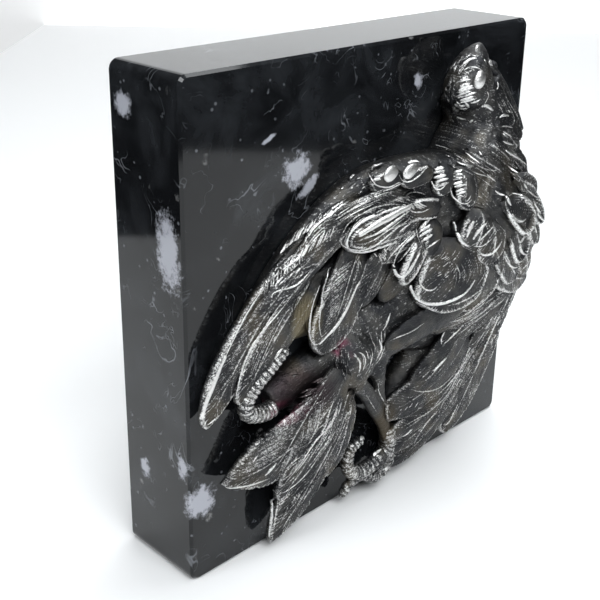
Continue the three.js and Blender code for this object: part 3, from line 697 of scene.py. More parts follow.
def shoulder_strands():
    """Bright pads and rims of the small round feathers, and the streaks of the mantle."""
    strokes = {
        "first_round_spot": (0.6, 1.3, [(372, 180), (376, 179), (381, 179)]),
        "first_round_rim": (0.35, 1.1, [(367, 172), (370, 180), (378, 186), (390, 187), (399, 182),
                                        (403, 186)]),
        "first_round_top": (0.25, 0.8, [(369, 170), (374, 165), (384, 162)]),
        "second_round_top": (0.5, 1.2, [(407, 163), (412, 161), (418, 161)]),
        "second_round_rim": (0.3, 1.1, [(399, 174), (401, 180), (408, 182), (416, 178), (423, 171),
                                        (427, 166)]),
        "third_round_rim": (0.3, 1.1, [(431, 180), (433, 188), (439, 190), (446, 184)]),
        "fourth_round_rim": (0.3, 1.1, [(450, 186), (452, 196), (458, 202), (466, 204), (472, 199)]),
        "fourth_round_ring": (0.3, 1.0, [(455, 198), (460, 195), (465, 198)]),
        "fourth_round_side": (0.25, 0.9, [(462, 203), (468, 200), (471, 194)]),
        "swirl_rim": (0.35, 1.0, [(405, 204), (411, 211), (421, 212), (430, 208)]),
        "swirl_top": (0.3, 0.9, [(404, 198), (409, 193), (418, 192), (426, 195)]),
        "barred_edge": (0.25, 0.9, [(416, 226), (417, 236), (421, 245)]),
        "drop_left_edge": (0.4, 1.1, [(417, 231), (409, 239), (401, 248), (395, 258), (393, 268)]),
        "drop_rim": (0.85, 1.35, [(393, 268), (396, 276), (402, 277), (409, 271), (415, 261), (420, 252)]),
        "drop_inner": (0.25, 0.9, [(396, 263), (403, 256), (410, 247), (414, 240)]),
        "drop_top": (0.45, 1.3, [(402, 246), (409, 240), (416, 234)]),
        "scapular_left_bar": (0.85, 1.3, [(455, 231), (459, 238), (464, 244), (469, 246)]),
        "scapular_middle_bar": (0.85, 1.3, [(466, 238), (469, 229), (474, 220)]),
        "scapular_right_bar": (0.8, 1.2, [(472, 240), (479, 230), (487, 222)]),
        "scapular_far_bar": (0.35, 1.0, [(477, 243), (486, 234), (493, 226)]),
        "scapular_edge": (0.35, 1.0, [(452, 220), (454, 226), (456, 232)]),
        "scapular_lip": (0.6, 1.1, [(476, 249), (483, 255), (491, 254), (498, 247), (502, 240)]),
        "scapular_lip_line": (0.3, 0.9, [(472, 246), (482, 246), (492, 238)]),
        "great_oval_rim": (0.8, 1.2, [(409, 280), (411, 291), (418, 300), (430, 304), (444, 303),
                                      (457, 298), (468, 290), (475, 279)]),
        "great_oval_eye": (0.45, 1.0, [(418, 276), (420, 284), (426, 290), (433, 290), (437, 286)]),
        "under_oval_rim": (0.35, 0.8, [(446, 306), (458, 303), (472, 296), (484, 285), (491, 272),
                                       (494, 258)]),
        "hollow_ring": (0.5, 0.85, [(505, 196), (505, 205), (509, 214), (515, 220), (521, 222),
                                    (526, 218), (528, 210)]),
        "hollow_ring_top": (0.35, 0.8, [(508, 196), (513, 193), (520, 195), (525, 201), (527, 208)]),
        "hollow_glint": (0.7, 1.5, [(505, 195), (508, 200), (511, 206)]),
        "hollow_lip": (0.9, 1.2, [(511, 213), (516, 219), (522, 221), (526, 218)]),
        "second_hollow_glint": (0.7, 1.5, [(519, 243), (523, 239), (524, 233)]),
        "second_hollow_lip": (0.8, 1.2, [(519, 245), (521, 251), (526, 255), (530, 251)]),
        "low_right_lip": (0.5, 1.1, [(503, 255), (507, 262), (512, 267), (517, 267), (521, 263)]),
        "lowest_right_lip": (0.6, 1.1, [(521, 270), (527, 264), (532, 256)]),
        "far_lip": (0.9, 1.3, [(537, 213), (541, 218), (545, 221)]),
        "far_glint": (0.4, 1.4, [(534, 203), (537, 208), (541, 214)]),
        "far_edge": (0.4, 1.0, [(526, 189), (532, 194), (539, 199)]),
        "far_spot": (0.5, 1.3, [(523, 183), (525, 186), (527, 189)]),
        "mantle_start": (0.25, 0.9, [(432, 144), (441, 146), (450, 149), (458, 153)]),
        "mantle_one": (0.45, 1.3, [(444, 149), (450, 151), (457, 155)]),
        "mantle_two": (0.6, 1.4, [(455, 161), (462, 164), (468, 166), (474, 166)]),
        "mantle_three": (0.4, 1.3, [(462, 151), (470, 156), (476, 161), (482, 166)]),
        "mantle_long": (0.25, 1.0, [(466, 158), (478, 166), (490, 170), (500, 171)]),
        "mantle_four": (0.4, 1.2, [(478, 150), (480, 153), (482, 156)]),
        "mantle_five": (0.3, 1.1, [(470, 170), (478, 174), (486, 176), (494, 181)]),
        "mantle_six": (0.35, 1.3, [(485, 173), (491, 178), (496, 182)]),
        "mantle_seven": (0.45, 1.3, [(494, 190), (499, 194), (505, 195)]),
        "mantle_eight": (0.5, 1.4, [(502, 141), (507, 143), (513, 145)]),
        "mantle_nine": (0.3, 1.2, [(502, 131), (507, 134), (512, 137)]),
        "mantle_wedge": (0.75, 1.5, [(505, 150), (511, 154), (516, 157), (521, 160)]),
        "mantle_tip": (0.4, 1.2, [(518, 159), (523, 162), (528, 167)]),
        "mantle_ten": (0.45, 1.4, [(508, 166), (513, 170), (518, 173)]),
        "flank_edge": (0.4, 1.0, [(434, 321), (450, 322), (464, 317), (480, 306), (494, 292), (504, 280)]),
    }
    combs = {
        "swirl": (3, 0.4, 1.3, (0.7, 0.95), [(410, 200), (416, 206), (424, 210)],
                  [(416, 200), (422, 205), (430, 207)]),
        "great_oval_arcs": (5, 0.3, 0.75, (0.6, 0.95), [(450, 262), (456, 276), (452, 292)],
                            [(470, 258), (474, 272), (466, 288)]),
        "great_oval_texture": (24, 0.22, 0.8, (0.12, 0.3), [(424, 262), (436, 256), (452, 250)],
                               [(440, 286), (452, 278), (462, 262)]),
        "under_oval_arcs": (3, 0.3, 0.6, (0.6, 0.9), [(478, 262), (480, 274), (472, 286)],
                            [(490, 262), (488, 276), (478, 290)]),
        "mantle_left": (18, 0.2, 0.7, (0.12, 0.35), [(448, 142), (470, 152), (490, 166), (505, 178)],
                        [(436, 158), (456, 168), (476, 178), (494, 192)]),
        "mantle_middle": (14, 0.22, 0.6, (0.15, 0.35), [(478, 140), (498, 152), (518, 170)],
                          [(470, 160), (488, 172), (506, 186)]),
        "mantle_right": (11, 0.25, 0.8, (0.2, 0.4), [(500, 142), (514, 152), (526, 166)],
                         [(506, 172), (518, 182), (530, 196)]),
        "flank": (9, 0.4, 0.85, (0.5, 0.9), [(436, 318), (450, 319), (466, 312), (482, 300), (496, 286)],
                  [(446, 328), (462, 327), (478, 318), (492, 306), (504, 294)]),
        "outer_flank": (3, 0.4, 0.8, (0.5, 0.9), [(492, 330), (498, 312), (506, 296)],
                        [(503, 328), (508, 310), (514, 296)]),
        "spine": (10, 0.2, 0.5, (0.2, 0.4), [(476, 176), (490, 190), (500, 206)],
                  [(478, 200), (490, 212), (500, 228)]),
    }
    # The round pads' polish paints the highlights of the small round feathers.
    pads = {
        "first_round": ((391, 174), 3.1, 2.5, 0.1, 0.7),
        "second_round": ((410, 171), 3.5, 2.2, 0.15, 0.7),
    }
    ladders = {
        "third_round": (5, 0.62, 1.5, 0.0, [(432, 170), (431, 178), (435, 187)],
                        [(447, 165), (449, 174), (449, 182)]),
        "fourth_round_upper": (3, 0.6, 1.5, 0.0, [(452, 174), (451, 180)], [(463, 169), (466, 176)]),
        "fourth_round_lower": (4, 0.62, 1.5, 0.0, [(452, 184), (454, 195)], [(465, 181), (467, 191)]),
        "barred": (5, 0.6, 1.4, 0.0, [(417, 231), (417, 238), (424, 250)],
                   [(432, 216), (435, 226), (441, 238)]),
    }
    return drawn(strokes, combs, ladders, pads)


def head_strands():
    """Eye, ear feathers, gape and the ridges of crown and nape."""
    strokes = {
        "ear_top": (0.45, 1.4, [(457, 82), (464, 80), (471, 79)]),
        "ear_low_left": (0.5, 1.2, [(452, 109), (457, 112), (464, 110), (468, 107)]),
        "ear_wedge": (0.6, 1.4, [(464, 102), (467, 105), (469, 108)]),
        "ear_end": (0.45, 1.4, [(468, 103), (476, 102), (481, 98)]),
        "gape": (0.45, 1.4, [(461, 65), (466, 61), (472, 58), (478, 58)]),
        "beak_edge": (0.45, 1.3, [(483, 58), (485, 62), (486, 66)]),
        "beak_base": (0.3, 0.9, [(470, 54), (474, 56), (479, 56)]),
        "knob": (0.6, 1.2, [(488, 63), (490, 63), (491, 66)]),
        "brow": (0.35, 0.9, [(462, 71), (468, 67), (476, 67), (483, 72), (486, 79)]),
        "brow_line": (0.28, 0.7, [(458, 73), (466, 73), (473, 69)]),
        "cheek_ridge": (0.85, 1.2, [(481, 106), (487, 106), (493, 111)]),
        "hollow_edge": (0.35, 1.0, [(486, 90), (488, 95), (486, 101), (484, 104)]),
        "hollow_top": (0.28, 0.8, [(488, 91), (492, 90), (496, 90)]),
        "nape_arc": (0.45, 1.2, [(496, 81), (498, 86), (496, 90)]),
        "nape_line": (0.3, 0.7, [(500, 84), (504, 91), (506, 98), (511, 106), (516, 114), (519, 122),
                                 (519, 130)]),
        "nape_inner": (0.3, 0.8, [(505, 99), (509, 107), (513, 115), (514, 122), (511, 127)]),
        "nape_spot": (0.7, 1.3, [(499, 118), (503, 115), (509, 116)]),
        "nape_glint": (0.5, 1.3, [(507, 110), (509, 111), (510, 113)]),
        "nape_low": (0.35, 1.2, [(499, 127), (506, 126), (513, 128)]),
        "throat_one": (0.5, 0.9, [(451, 106), (456, 111), (464, 110), (470, 106)]),
        "throat_two": (0.4, 1.0, [(456, 116), (460, 119), (467, 119)]),
        "throat_three": (0.4, 1.1, [(469, 123), (473, 119)]),
    }
    combs = {
        "crown": (15, 0.22, 0.7, (0.3, 0.7), [(446, 72), (454, 62), (466, 51)],
                  [(456, 76), (464, 66), (474, 60)]),
        "forehead": (9, 0.22, 0.7, (0.3, 0.7), [(452, 66), (462, 58), (471, 49)],
                     [(458, 64), (466, 57), (474, 54)]),
        "above_ear": (4, 0.3, 0.7, (0.5, 0.9), [(454, 78), (464, 75), (472, 72)],
                      [(452, 84), (462, 79), (472, 76)]),
        "skull_side": (16, 0.22, 0.5, (0.2, 0.5), [(444, 76), (443, 90), (446, 106)],
                       [(456, 70), (451, 88), (452, 108)]),
        "below_ear": (8, 0.35, 1.1, (0.3, 0.6), [(451, 98), (459, 104), (470, 104)],
                      [(452, 105), (461, 109), (472, 108)]),
        "neck_left": (14, 0.22, 0.5, (0.2, 0.4), [(442, 100), (446, 114), (452, 126)],
                      [(452, 112), (458, 122), (466, 130)]),
        "neck_front": (14, 0.22, 0.5, (0.2, 0.4), [(474, 112), (486, 118), (498, 122)],
                       [(462, 130), (480, 134), (500, 138)]),
        "neck_right": (6, 0.3, 0.7, (0.4, 0.7), [(494, 96), (500, 108), (506, 120)],
                       [(500, 94), (506, 106), (512, 118)]),
    }
    # The eye and beak pads' polish paints their highlights.
    pads = {
        "eye": ((479.5, 80), 2.5, 2.9, -0.2, 1.1),
        "beak": ((477, 49.5), 1.1, 1.5, 0.0, 0.3),
        "knob": ((489.5, 63), 1.0, 1.1, 0.0, 0.5, 0.8),
    }
    ladders = {
        "ear": (8, 0.6, 1.5, 0.0, [(457, 86), (452, 95), (457, 104)], [(471, 82), (476, 88), (478, 98)]),
    }
    return drawn(strokes, combs, ladders, pads)


def lower_strands():
    """Thigh, tail barbs, wing tips and the glints of the feet."""
    strokes = {
        "tail_quill": (0.25, 0.85, [(325, 386), (311, 408), (298, 430), (286, 452), (272, 472)]),
        "tail_tip": (0.4, 1.2, [(222, 484), (228, 488), (240, 487), (254, 484), (270, 478)]),
        "tail_glint_one": (0.35, 1.3, [(252, 463), (255, 458), (258, 454)]),
        "tail_glint_two": (0.3, 1.2, [(269, 456), (273, 453), (277, 452)]),
        "tail_glint_three": (0.35, 1.3, [(283, 428), (284, 423), (284, 418)]),
        "tail_pad": (0.8, 1.0, [(264, 476), (270, 470), (277, 462)]),
        "middle_tail_edge": (0.3, 1.0, [(271, 488), (276, 493), (286, 491), (300, 480), (312, 466),
                                        (322, 450)]),
        "middle_tail_quill": (0.4, 1.1, [(340, 398), (330, 424), (316, 440), (300, 464), (284, 484)]),
        "last_tail_edge": (0.35, 1.0, [(272, 496), (271, 515), (269, 530), (268, 540)]),
        "last_tail_line": (0.3, 0.9, [(278, 500), (275, 516), (273, 532)]),
        "last_tail_tip": (0.3, 1.0, [(268, 541), (273, 543), (279, 537), (284, 531)]),
        "tail_right_edge": (0.3, 0.7, [(358, 384), (351, 404), (343, 428), (331, 452), (317, 476),
                                       (303, 500), (290, 524)]),
        "shank_plate": (0.3, 0.8, [(379, 378), (378, 390), (384, 402), (391, 415)]),
        "shank_left": (0.25, 0.7, [(362, 388), (369, 400), (377, 413)]),
        "covert_rim": (0.35, 1.0, [(411, 388), (416, 391), (428, 391), (438, 388), (446, 382), (456, 372)]),
        "covert_glint": (0.6, 1.4, [(433, 372), (440, 364), (447, 357)]),
        "second_edge": (0.4, 0.95, [(398, 416), (410, 412), (424, 404), (438, 394), (450, 382),
                                    (462, 366), (472, 348)]),
        "third_edge": (0.35, 0.85, [(400, 428), (412, 421), (428, 412), (444, 398), (456, 382)]),
        "third_glint": (0.35, 1.3, [(402, 437), (408, 433), (413, 428)]),
        "fourth_edge": (0.35, 0.8, [(410, 450), (420, 432), (432, 416), (444, 404)]),
        "outer_tip": (0.6, 1.0, [(438, 420), (442, 424), (447, 424), (452, 415), (460, 399), (470, 376),
                                 (478, 357), (488, 336)]),
        "outer_inner_edge": (0.3, 0.9, [(437, 418), (442, 404), (452, 386), (462, 364), (470, 344)]),
        "outer_band": (0.7, 0.9, [(500, 312), (495, 324), (489, 337), (483, 350), (476, 364)]),
        "hip_edge": (0.3, 0.8, [(425, 322), (412, 331), (400, 336), (388, 341)]),
        "covert_tip_one": (0.35, 1.1, [(441, 345), (441, 338), (445, 331)]),
        "covert_tip_two": (0.5, 1.0, [(442, 345), (450, 338), (458, 330), (466, 322)]),
        "outer_glint": (0.5, 1.4, [(456, 386), (458, 381), (462, 378)]),
        "toe_claw_glint": (0.7, 1.5, [(359, 440), (363, 437), (367, 434)]),
        "toe_glint_one": (0.5, 1.4, [(372, 456), (376, 452), (381, 448)]),
        "toe_glint_two": (0.8, 1.5, [(384, 470), (386, 469), (388, 468)]),
        "toe_glint_three": (0.5, 1.4, [(344, 487), (347, 491), (351, 490)]),
        "toe_glint_four": (0.4, 1.2, [(352, 472), (355, 467), (358, 465)]),
        "left_claw_glint": (0.7, 1.4, [(283, 347), (278, 353), (274, 360)]),
        "thigh_arc_one": (0.45, 1.2, [(378, 337), (381, 348), (377, 358), (369, 368), (362, 379)]),
        "thigh_arc_two": (0.3, 1.0, [(371, 340), (375, 347), (373, 356)]),
        "thigh_arc_three": (0.35, 1.1, [(369, 351), (371, 360), (368, 368), (364, 376)]),
        "thigh_arc_four": (0.35, 1.2, [(357, 352), (363, 354), (365, 362), (362, 372)]),
        "thigh_arc_five": (0.4, 1.2, [(352, 355), (358, 358), (360, 366), (357, 377)]),
        "thigh_arc_six": (0.3, 1.1, [(364, 349), (367, 353), (368, 360)]),
        "thigh_edge": (0.3, 1.0, [(384, 345), (381, 356), (374, 366), (366, 376), (359, 389)]),
        "thigh_top_edge": (0.6, 1.2, [(382, 331), (387, 322), (390, 312)]),
    }
    combs = {
        "thigh_right": (9, 0.25, 0.8, (0.3, 0.6), [(352, 352), (358, 362), (356, 378)],
                        [(379, 338), (381, 352), (372, 374)]),
        "thigh_left": (20, 0.18, 0.6, (0.2, 0.45), [(334, 350), (336, 366), (344, 384)],
                       [(348, 346), (350, 362), (352, 380)]),
        "thigh_top": (4, 0.4, 0.9, (0.5, 0.9), [(368, 330), (374, 345)], [(386, 328), (384, 345)]),
        "tail_long": (11, 0.42, 0.9, (0.25, 0.5), [(330, 398), (314, 432), (298, 460), (278, 486)],
                      [(346, 388), (340, 420), (324, 448), (298, 482)]),
        "tail_right": (9, 0.45, 0.9, (0.25, 0.45), [(336, 392), (326, 420), (310, 450)],
                       [(354, 388), (342, 424), (324, 460)]),
        "last_tail": (9, 0.35, 0.8, (0.25, 0.5), [(300, 486), (288, 506), (276, 532)],
                      [(322, 470), (308, 494), (288, 526)]),
        "covert": (7, 0.3, 0.6, (0.3, 0.6), [(412, 380), (424, 368), (440, 352)],
                   [(424, 388), (436, 378), (450, 362)]),
        "second": (5, 0.3, 0.85, (0.5, 0.9), [(398, 412), (405, 404)], [(416, 410), (422, 400)]),
        "primaries": (10, 0.35, 0.7, (0.35, 0.7), [(402, 432), (424, 420), (446, 396), (466, 360),
                                                   (478, 340)],
                      [(414, 450), (430, 430), (450, 402), (472, 362), (486, 340)]),
        "outer_edge": (9, 0.35, 1.0, (0.1, 0.25), [(476, 362), (486, 345), (494, 332)],
                       [(484, 356), (492, 342), (500, 328)]),
        "left_foot": (12, 0.22, 0.4, (0.15, 0.3), [(270, 374), (284, 370), (300, 370)],
                      [(276, 396), (290, 394), (306, 386)]),
        "hip": (14, 0.18, 0.45, (0.2, 0.45), [(330, 372), (316, 380), (300, 388)],
                [(326, 394), (312, 400), (296, 406)]),
    }
    ladders = {
        "tail_left_barbs": (64, 0.17, 0.65, 0.2, [(324, 388), (310, 409), (296, 432), (284, 454),
                                                  (270, 474)],
                            [(292, 406), (270, 430), (250, 452), (234, 470), (222, 482)]),
        "tail_right_barbs": (36, 0.18, 0.75, 0.22, [(326, 388), (312, 409), (299, 432), (287, 454),
                                                    (273, 474)],
                             [(332, 412), (318, 432), (303, 450), (288, 468), (272, 482)]),
        "outer_barbs": (36, 0.17, 0.6, 0.07, [(470, 356), (460, 376), (451, 394), (444, 412)],
                        [(476, 362), (467, 382), (457, 402), (449, 420)]),
    }
    return drawn(strokes, combs, ladders, {})


# The bird's feather groups

def left_wing():
    """Primaries, coverts, secondaries and the small round feathers along the shoulder."""
    skins = [
        feather([-34, 98, 6.2], [-72.4, 52.8, 3.6], 6.4, bow=4.4, rim=0.4, barb=0.22, wall=1.9, pitch=0.8,
                sweep=2.0, blunt=1.2),
        feather([-32, 91, 6.8], [-62, 57, 5.4], 5.2, bow=2.6, rim=0.35, barb=0.2, wall=1.6, sweep=2.4,
                blunt=1.2),
        feather([-30, 87, 7.2], [-53.5, 64, 6.2], 4, bow=1.6, rim=0.3, barb=0.12, wall=1.4, shine=0.5),
    ]
    skins += row(6, ([-19, 107.4, 9], [-44, 92, 7]), ([-38, 99.4, 7.4], [-57.6, 80.5, 5.6]), (3.4, 2.2),
                 barb=0.36, pitch=0.9, sweep=2.4, shine=0.75, rim=0.2)
    skins += row(5, ([-22, 101.5, 9.2], [-38, 91.5, 8]), ([-38, 93.6, 8], [-51.5, 82.5, 6.8]), (3.0, 2.3),
                 barb=0.36, pitch=0.9, sweep=2.4, shine=0.75, rim=0.2)
    skins += [
        feather([-18.6, 95, 10.4], [-32.4, 63.2, 7.8], 9.2, bow=-0.6, thick=1.2, rim=0.45, wall=1.6,
                quill=0.4, barb=0.22, pitch=0.8, sweep=1.9, blunt=1.15, shine=0.85),
        feather([-8, 92, 11], [-18.5, 74.5, 9.4], 5.6, barb=0.22, rim=0.2, shine=0.7),
        feather([2, 88, 12], [-8, 73.5, 10.5], 5, barb=0.15, shine=0.4),
        feather([6, 99.6, 15.3], [-25.5, 96.4, 9.6], 6.0, bow=1, thick=1.3, rim=0.45, rings=2,
                ring_pitch=1.5, barb=0.1, shine=1.1),
        feather([4, 104.8, 14.5], [-21.5, 103, 10.2], 3.4, bow=-0.6, barb=0.25, rim=0.2),
        feather([0, 108.3, 12.6], [-28, 104.6, 8.4], 2.9, bow=-1, barb=0.25, rim=0.15),
        feather([5, 94.6, 16], [-12, 88.6, 11.6], 3.6, barb=0.2, rim=0.25),
        feather([-2.4, 112.8, 12.2], [-14.6, 111.6, 9.2], 3.0, barb=0.0, quill=0.0, thick=1.4, rim=0.35,
                rim_width=0.7),
        feather([7.6, 113.2, 15.2], [-4.8, 111.2, 12.6], 2.9, barb=0.0, quill=0.0, thick=1.5, rim=0.35,
                rim_width=0.7),
        feather([10.4, 101.4, 17.1], [-2.4, 102.8, 14], 3.4, barb=0.0, quill=0, rings=1, ring_pitch=1.4,
                rim=0.25),
        feather([13.0, 114, 16.8], [8.2, 105.4, 16.2], 3.3, barb=0.0, quill=0, thick=1.5, rings=1,
                ring_pitch=1.4, lean=-0.2),
        feather([18.0, 113, 18.8], [17.6, 99.6, 20.4], 3.9, barb=0.0, quill=0, thick=1.5, rings=2,
                ring_pitch=1.3, lean=-0.25),
    ]
    return skins


def back():
    """Scapulars from the left shoulder over the spine to the right side, and the mantle."""
    skins = [
        feather([2.6, 94.6, 17], [-4.2, 79.2, 14.8], 3.9, bow=0.5, rim=0.6, rim_width=1.4, barb=0.05,
                hollow=0.6, quill=0.1),
        feather([7.6, 98.6, 17.0], [6.2, 86.4, 16.4], 3.8, bow=0.4, barb=0, quill=0, rim=0.3, thick=1.3),
        feather([24.5, 95.6, 25.4], [26.2, 80.6, 24.4], 4.8, rim=0.3, barb=0.15, lean=-0.35),
        feather([22.0, 99.6, 23.2], [19.2, 85.8, 21.8], 4.9, rim=0.3, barb=0.1, lean=-0.45, thick=1.3),
        feather([27.6, 88, 24.2], [25.6, 62.2, 17.0], 8.4, thick=1.2, rim=0.5, barb=0.16, pitch=0.8,
                quill=0.0, lean=-0.3, shine=0.9),
        feather([16.4, 91, 20.8], [12.6, 65.6, 17.0], 11.8, bow=-0.4, thick=1.5, rim=0.6, rim_width=1.3,
                barb=0.14, pitch=0.75, wall=2.2, quill=0.0, lean=-0.38, shine=0.8),
        feather([30.4, 102, 27], [42.2, 90, 28.8], 5, thick=1.2, rim=0.6, rim_width=1.3, barb=0.05,
                hollow=1.3, quill=0),
        feather([35, 92, 27.2], [44.6, 78.6, 25.6], 4.9, bow=0.8, rim=0.5, rim_width=1.2, hollow=1.1,
                barb=0.1, quill=0.1),
        feather([29, 87, 25.6], [45, 70.6, 22.8], 5, bow=1, rim=0.4, barb=0.2),
        feather([30, 79, 23.4], [58, 65.6, 18.4], 5.6, bow=1.6, rim=0.4, barb=0.2),
    ]
    skins += row(6, ([38, 106, 24.0], [46, 80, 23.6]), ([52, 98.4, 22.6], [58, 64.5, 17.2]), (3.2, 4.0),
                 (-0.8, -0.8), rim=0.3, barb=0.2)
    skins += [
        feather([40, 120, 15.6], [47.6, 111, 17.6], 2.8, barb=0.15, thick=0.7, arch=0.4, lean=-0.3),
        feather([42.5, 114.5, 17], [50.6, 105, 18.8], 2.8, barb=0.15, thick=0.7, arch=0.4, lean=-0.3),
        feather([47, 100, 23.6], [55.2, 87.4, 24.2], 3.2, rim=0.5, rim_width=1.2, hollow=0.8, barb=0.1,
                arch=0.5),
        feather([49, 91, 23.2], [56, 79.6, 22.6], 3, rim=0.4, barb=0.2, arch=0.5),
    ]
    side = {"barb": 0.22, "rim": 0.2, "quill": 0.2, "shine": 0.7, "arch": 0.4}
    skins += row(6, ([57, 110, 11.5], [64.5, 68, 9]), ([59.5, 92, 12.5], [61, 46, 6]), (3.6, 3.8), lean=1.4,
                 **side)
    skins += row(6, ([59, 106, 6], [66.5, 66, 4.6]), ([62.5, 86, 6], [63, 43, 3]), (3.4, 3.6), lean=1.1,
                 **side)
    soft = {"barb": 0.22, "pitch": 0.7, "sweep": 2.6, "thick": 0.3, "wall": 0.5, "arch": 0.2}
    skins += row(3, ([25, 115.5, 15.4], [38, 120, 14.6]), ([34, 108, 19.6], [48, 112, 17.8]), (2.6, 2.4),
                 **soft)
    return skins


def flank():
    """Long soft feathers swept across the rump towards the tail."""
    style = {"barb": 0.3, "pitch": 0.9, "sweep": 3.0, "ragged": 0.08, "quill": 0.1, "shine": 0.9}
    return [
        feather([38, 67, 20], [13.5, 57.0, 10.6], 4.6, bow=1.2, **style),
        feather([28, 67, 19], [-7, 58, 12], 5, bow=1.4, **{**style, "barb": 0.05, "quill": 0, "shine": 0.35}),
        feather([52, 66, 19], [30, 59, 15], 4.4, bow=1, **style),
        feather([54, 60, 16.5], [24.6, 47, 10], 5.4, bow=2, **style),
        feather([50, 56, 14.5], [19, 54, 9.4], 3.6, bow=1.6, **style),
    ]


def right_wing():
    """Primaries that sweep down from the wrist, and their coverts at the edge of the block."""
    skins = [feather([54, 54, 12], [37.6, 5.8, 4], 8.8, bow=0.6, rim=0.4, barb=0.3, wall=1.8, pitch=0.9,
                     sweep=2.4)]
    skins += row(3, ([46, 43, 8], [43, 48, 9]), ([5.2, 6.4, 4.6], [3.4, 20, 6.4]), (5.2, 5), (-7.4, -8.4),
                 barb=0.22, rim=0.3, wall=1.6, sweep=2.2, shine=0.85)
    skins += [
        feather([41, 53, 10.6], [-1.4, 30.6, 6.6], 7, bow=-7, barb=0.2, rim=0.3, wall=1.6, sweep=2.2,
                shine=0.75),
        feather([35.4, 56, 11.4], [10.6, 33.4, 8.4], 7.2, bow=-2.2, rim=0.1, barb=0.16, wall=1.8, shine=0.5),
        feather([56, 68, 15.5], [53, 33, 6.2], 6.2, bow=-0.4, barb=0.3, sweep=2.6, ragged=0.08),
    ]
    skins += row(4, ([58.5, 65, 15.6], [48, 60, 15]), ([53.5, 40, 8.2], [41, 40, 9.8]), (3.0, 3.0), barb=0.25,
                 sweep=2.8)
    return skins


def tail():
    """A fan of long feathers that lift clear of the block towards their tips."""
    style = {"barb": 0.36, "pitch": 1.0, "sweep": 2.6, "ragged": 0.06, "wall": 2.2, "rim": 0.3,
             "blunt": 1.6, "shine": 0.95}
    return [
        feather([-20, 47, 10], [-27.4, 19, 7.4], 4.6, bow=-0.6, **style),
        feather([-20, 46, 10.6], [-48.4, 3.4, 4.2], 7.4, bow=-0.4, thick=1.3, **style),
        feather([-24, 51, 12], [-47.6, 19.4, 6.4], 6, bow=-0.2, thick=1.2, **style),
        feather([-25, 56, 12.8], [-66.6, 32, 3.8], 9.2, bow=-5.6, thick=1.2,
                **{**style, "barb": 0.28, "pitch": 0.85, "blunt": 2.2}),
    ]


def legs():
    """The clenched toes, scaled on top; the shanks above them are part of the flesh."""
    upper_toe = [[2.4, 24, 6.2], [3.2, 16, 6.4], [-4, 12.6, 6.6], [-12.6, 12.4, 6], [-15.6, 17, 5.6],
                 [-14.8, 22.4, 6.2], [-9.6, 24.8, 6.8]]
    lower_toe = [[3, 18, 6], [4, 9, 5.6], [-2, 6.6, 5.6], [-8, 9.4, 5.2], [-13.6, 8, 4.8], [-16, 3.6, 3.6]]
    short_toe = [[-1, 16.4, 6.4], [-0.6, 13.6, 8.4], [-5, 12.2, 9]]
    left_toe = [[-47.6, 50, 4.6], [-52, 50, 4.8], [-57.4, 52, 5], [-58.8, 56, 5.4], [-56, 60.4, 6],
                [-51.6, 64, 6.8], [-47.6, 67.4, 7.6], [-45, 69.6, 8]]
    return [
        limb(upper_toe, 2.6, taper=0.5, scute_rise=0.5, shine=0.7),
        limb(lower_toe, 2.4, taper=0.5, scute_rise=0.5, shine=0.6),
        limb(short_toe, 1.4, taper=0.3, shine=0.6),
        limb(left_toe, 2.5, taper=0.4, scute_rise=0.45, scute_pitch=1.7, shine=0.8),
    ]


def head():
    """The knob above the eye and the ridge of the nape, on the skull that is part of the flesh."""
    nape = [[40, 139.6, 9.5], [44.2, 134, 11.2], [47.4, 128.6, 12.6], [50.4, 123, 13.8], [52.6, 117, 15]]
    return [swelling([43.2, 138.8, 8.2], 1.6, 1.6, 2, 0.1), limb(nape, 1.5, taper=0.9)]


# Finishes

def maths(operation, reflected=False):
    """A method for Value: a Math node on it and another value, which comes first if reflected."""
    def method(self, other):
        first, second = (other, self) if reflected else (self, other)
        return self.nodes.node("Math", {"operation": operation}, {0: first, 1: second})
    return method


class Value:
    """A number or colour on its way through a finish; Python's operators add the Math nodes."""

    def __init__(self, nodes, socket):
        self.nodes, self.socket = nodes, socket

    __add__ = maths("ADD")
    __radd__ = maths("ADD", reflected=True)
    __sub__ = maths("SUBTRACT")
    __rsub__ = maths("SUBTRACT", reflected=True)
    __mul__ = maths("MULTIPLY")
    __rmul__ = maths("MULTIPLY", reflected=True)
    __pow__ = maths("POWER")
    over = maths("MAXIMUM")
    under = maths("MINIMUM")

    def __abs__(self):
        return self.nodes.node("Math", {"operation": "ABSOLUTE"}, {0: self})

    def step(self, low, high, bottom=0.0, top=1.0):
        """From bottom below low to top above high, smooth between; low may be above high."""
        return self.nodes.node("MapRange", {"interpolation_type": "SMOOTHSTEP"},
                               {"Value": self, "From Min": low, "From Max": high,
                                "To Min": bottom, "To Max": top})


class Nodes:
    """A node tree under construction."""

    def __init__(self, tree):
        self.tree = tree

    def node(self, kind, settings=None, values=None, output=0):
        """Adds a node: its settings first, then the values or links of its sockets."""
        made = self.tree.nodes.new("ShaderNode" + kind)
        for key, setting in (settings or {}).items():
            setattr(made, key, setting)
        for key, value in (values or {}).items():
            self.feed(made.inputs[key], value)
        return Value(self, made.outputs[output])

    def feed(self, socket, value):
        if isinstance(value, Value):
            self.tree.links.new(value.socket, socket)
        else:
            socket.default_value = value


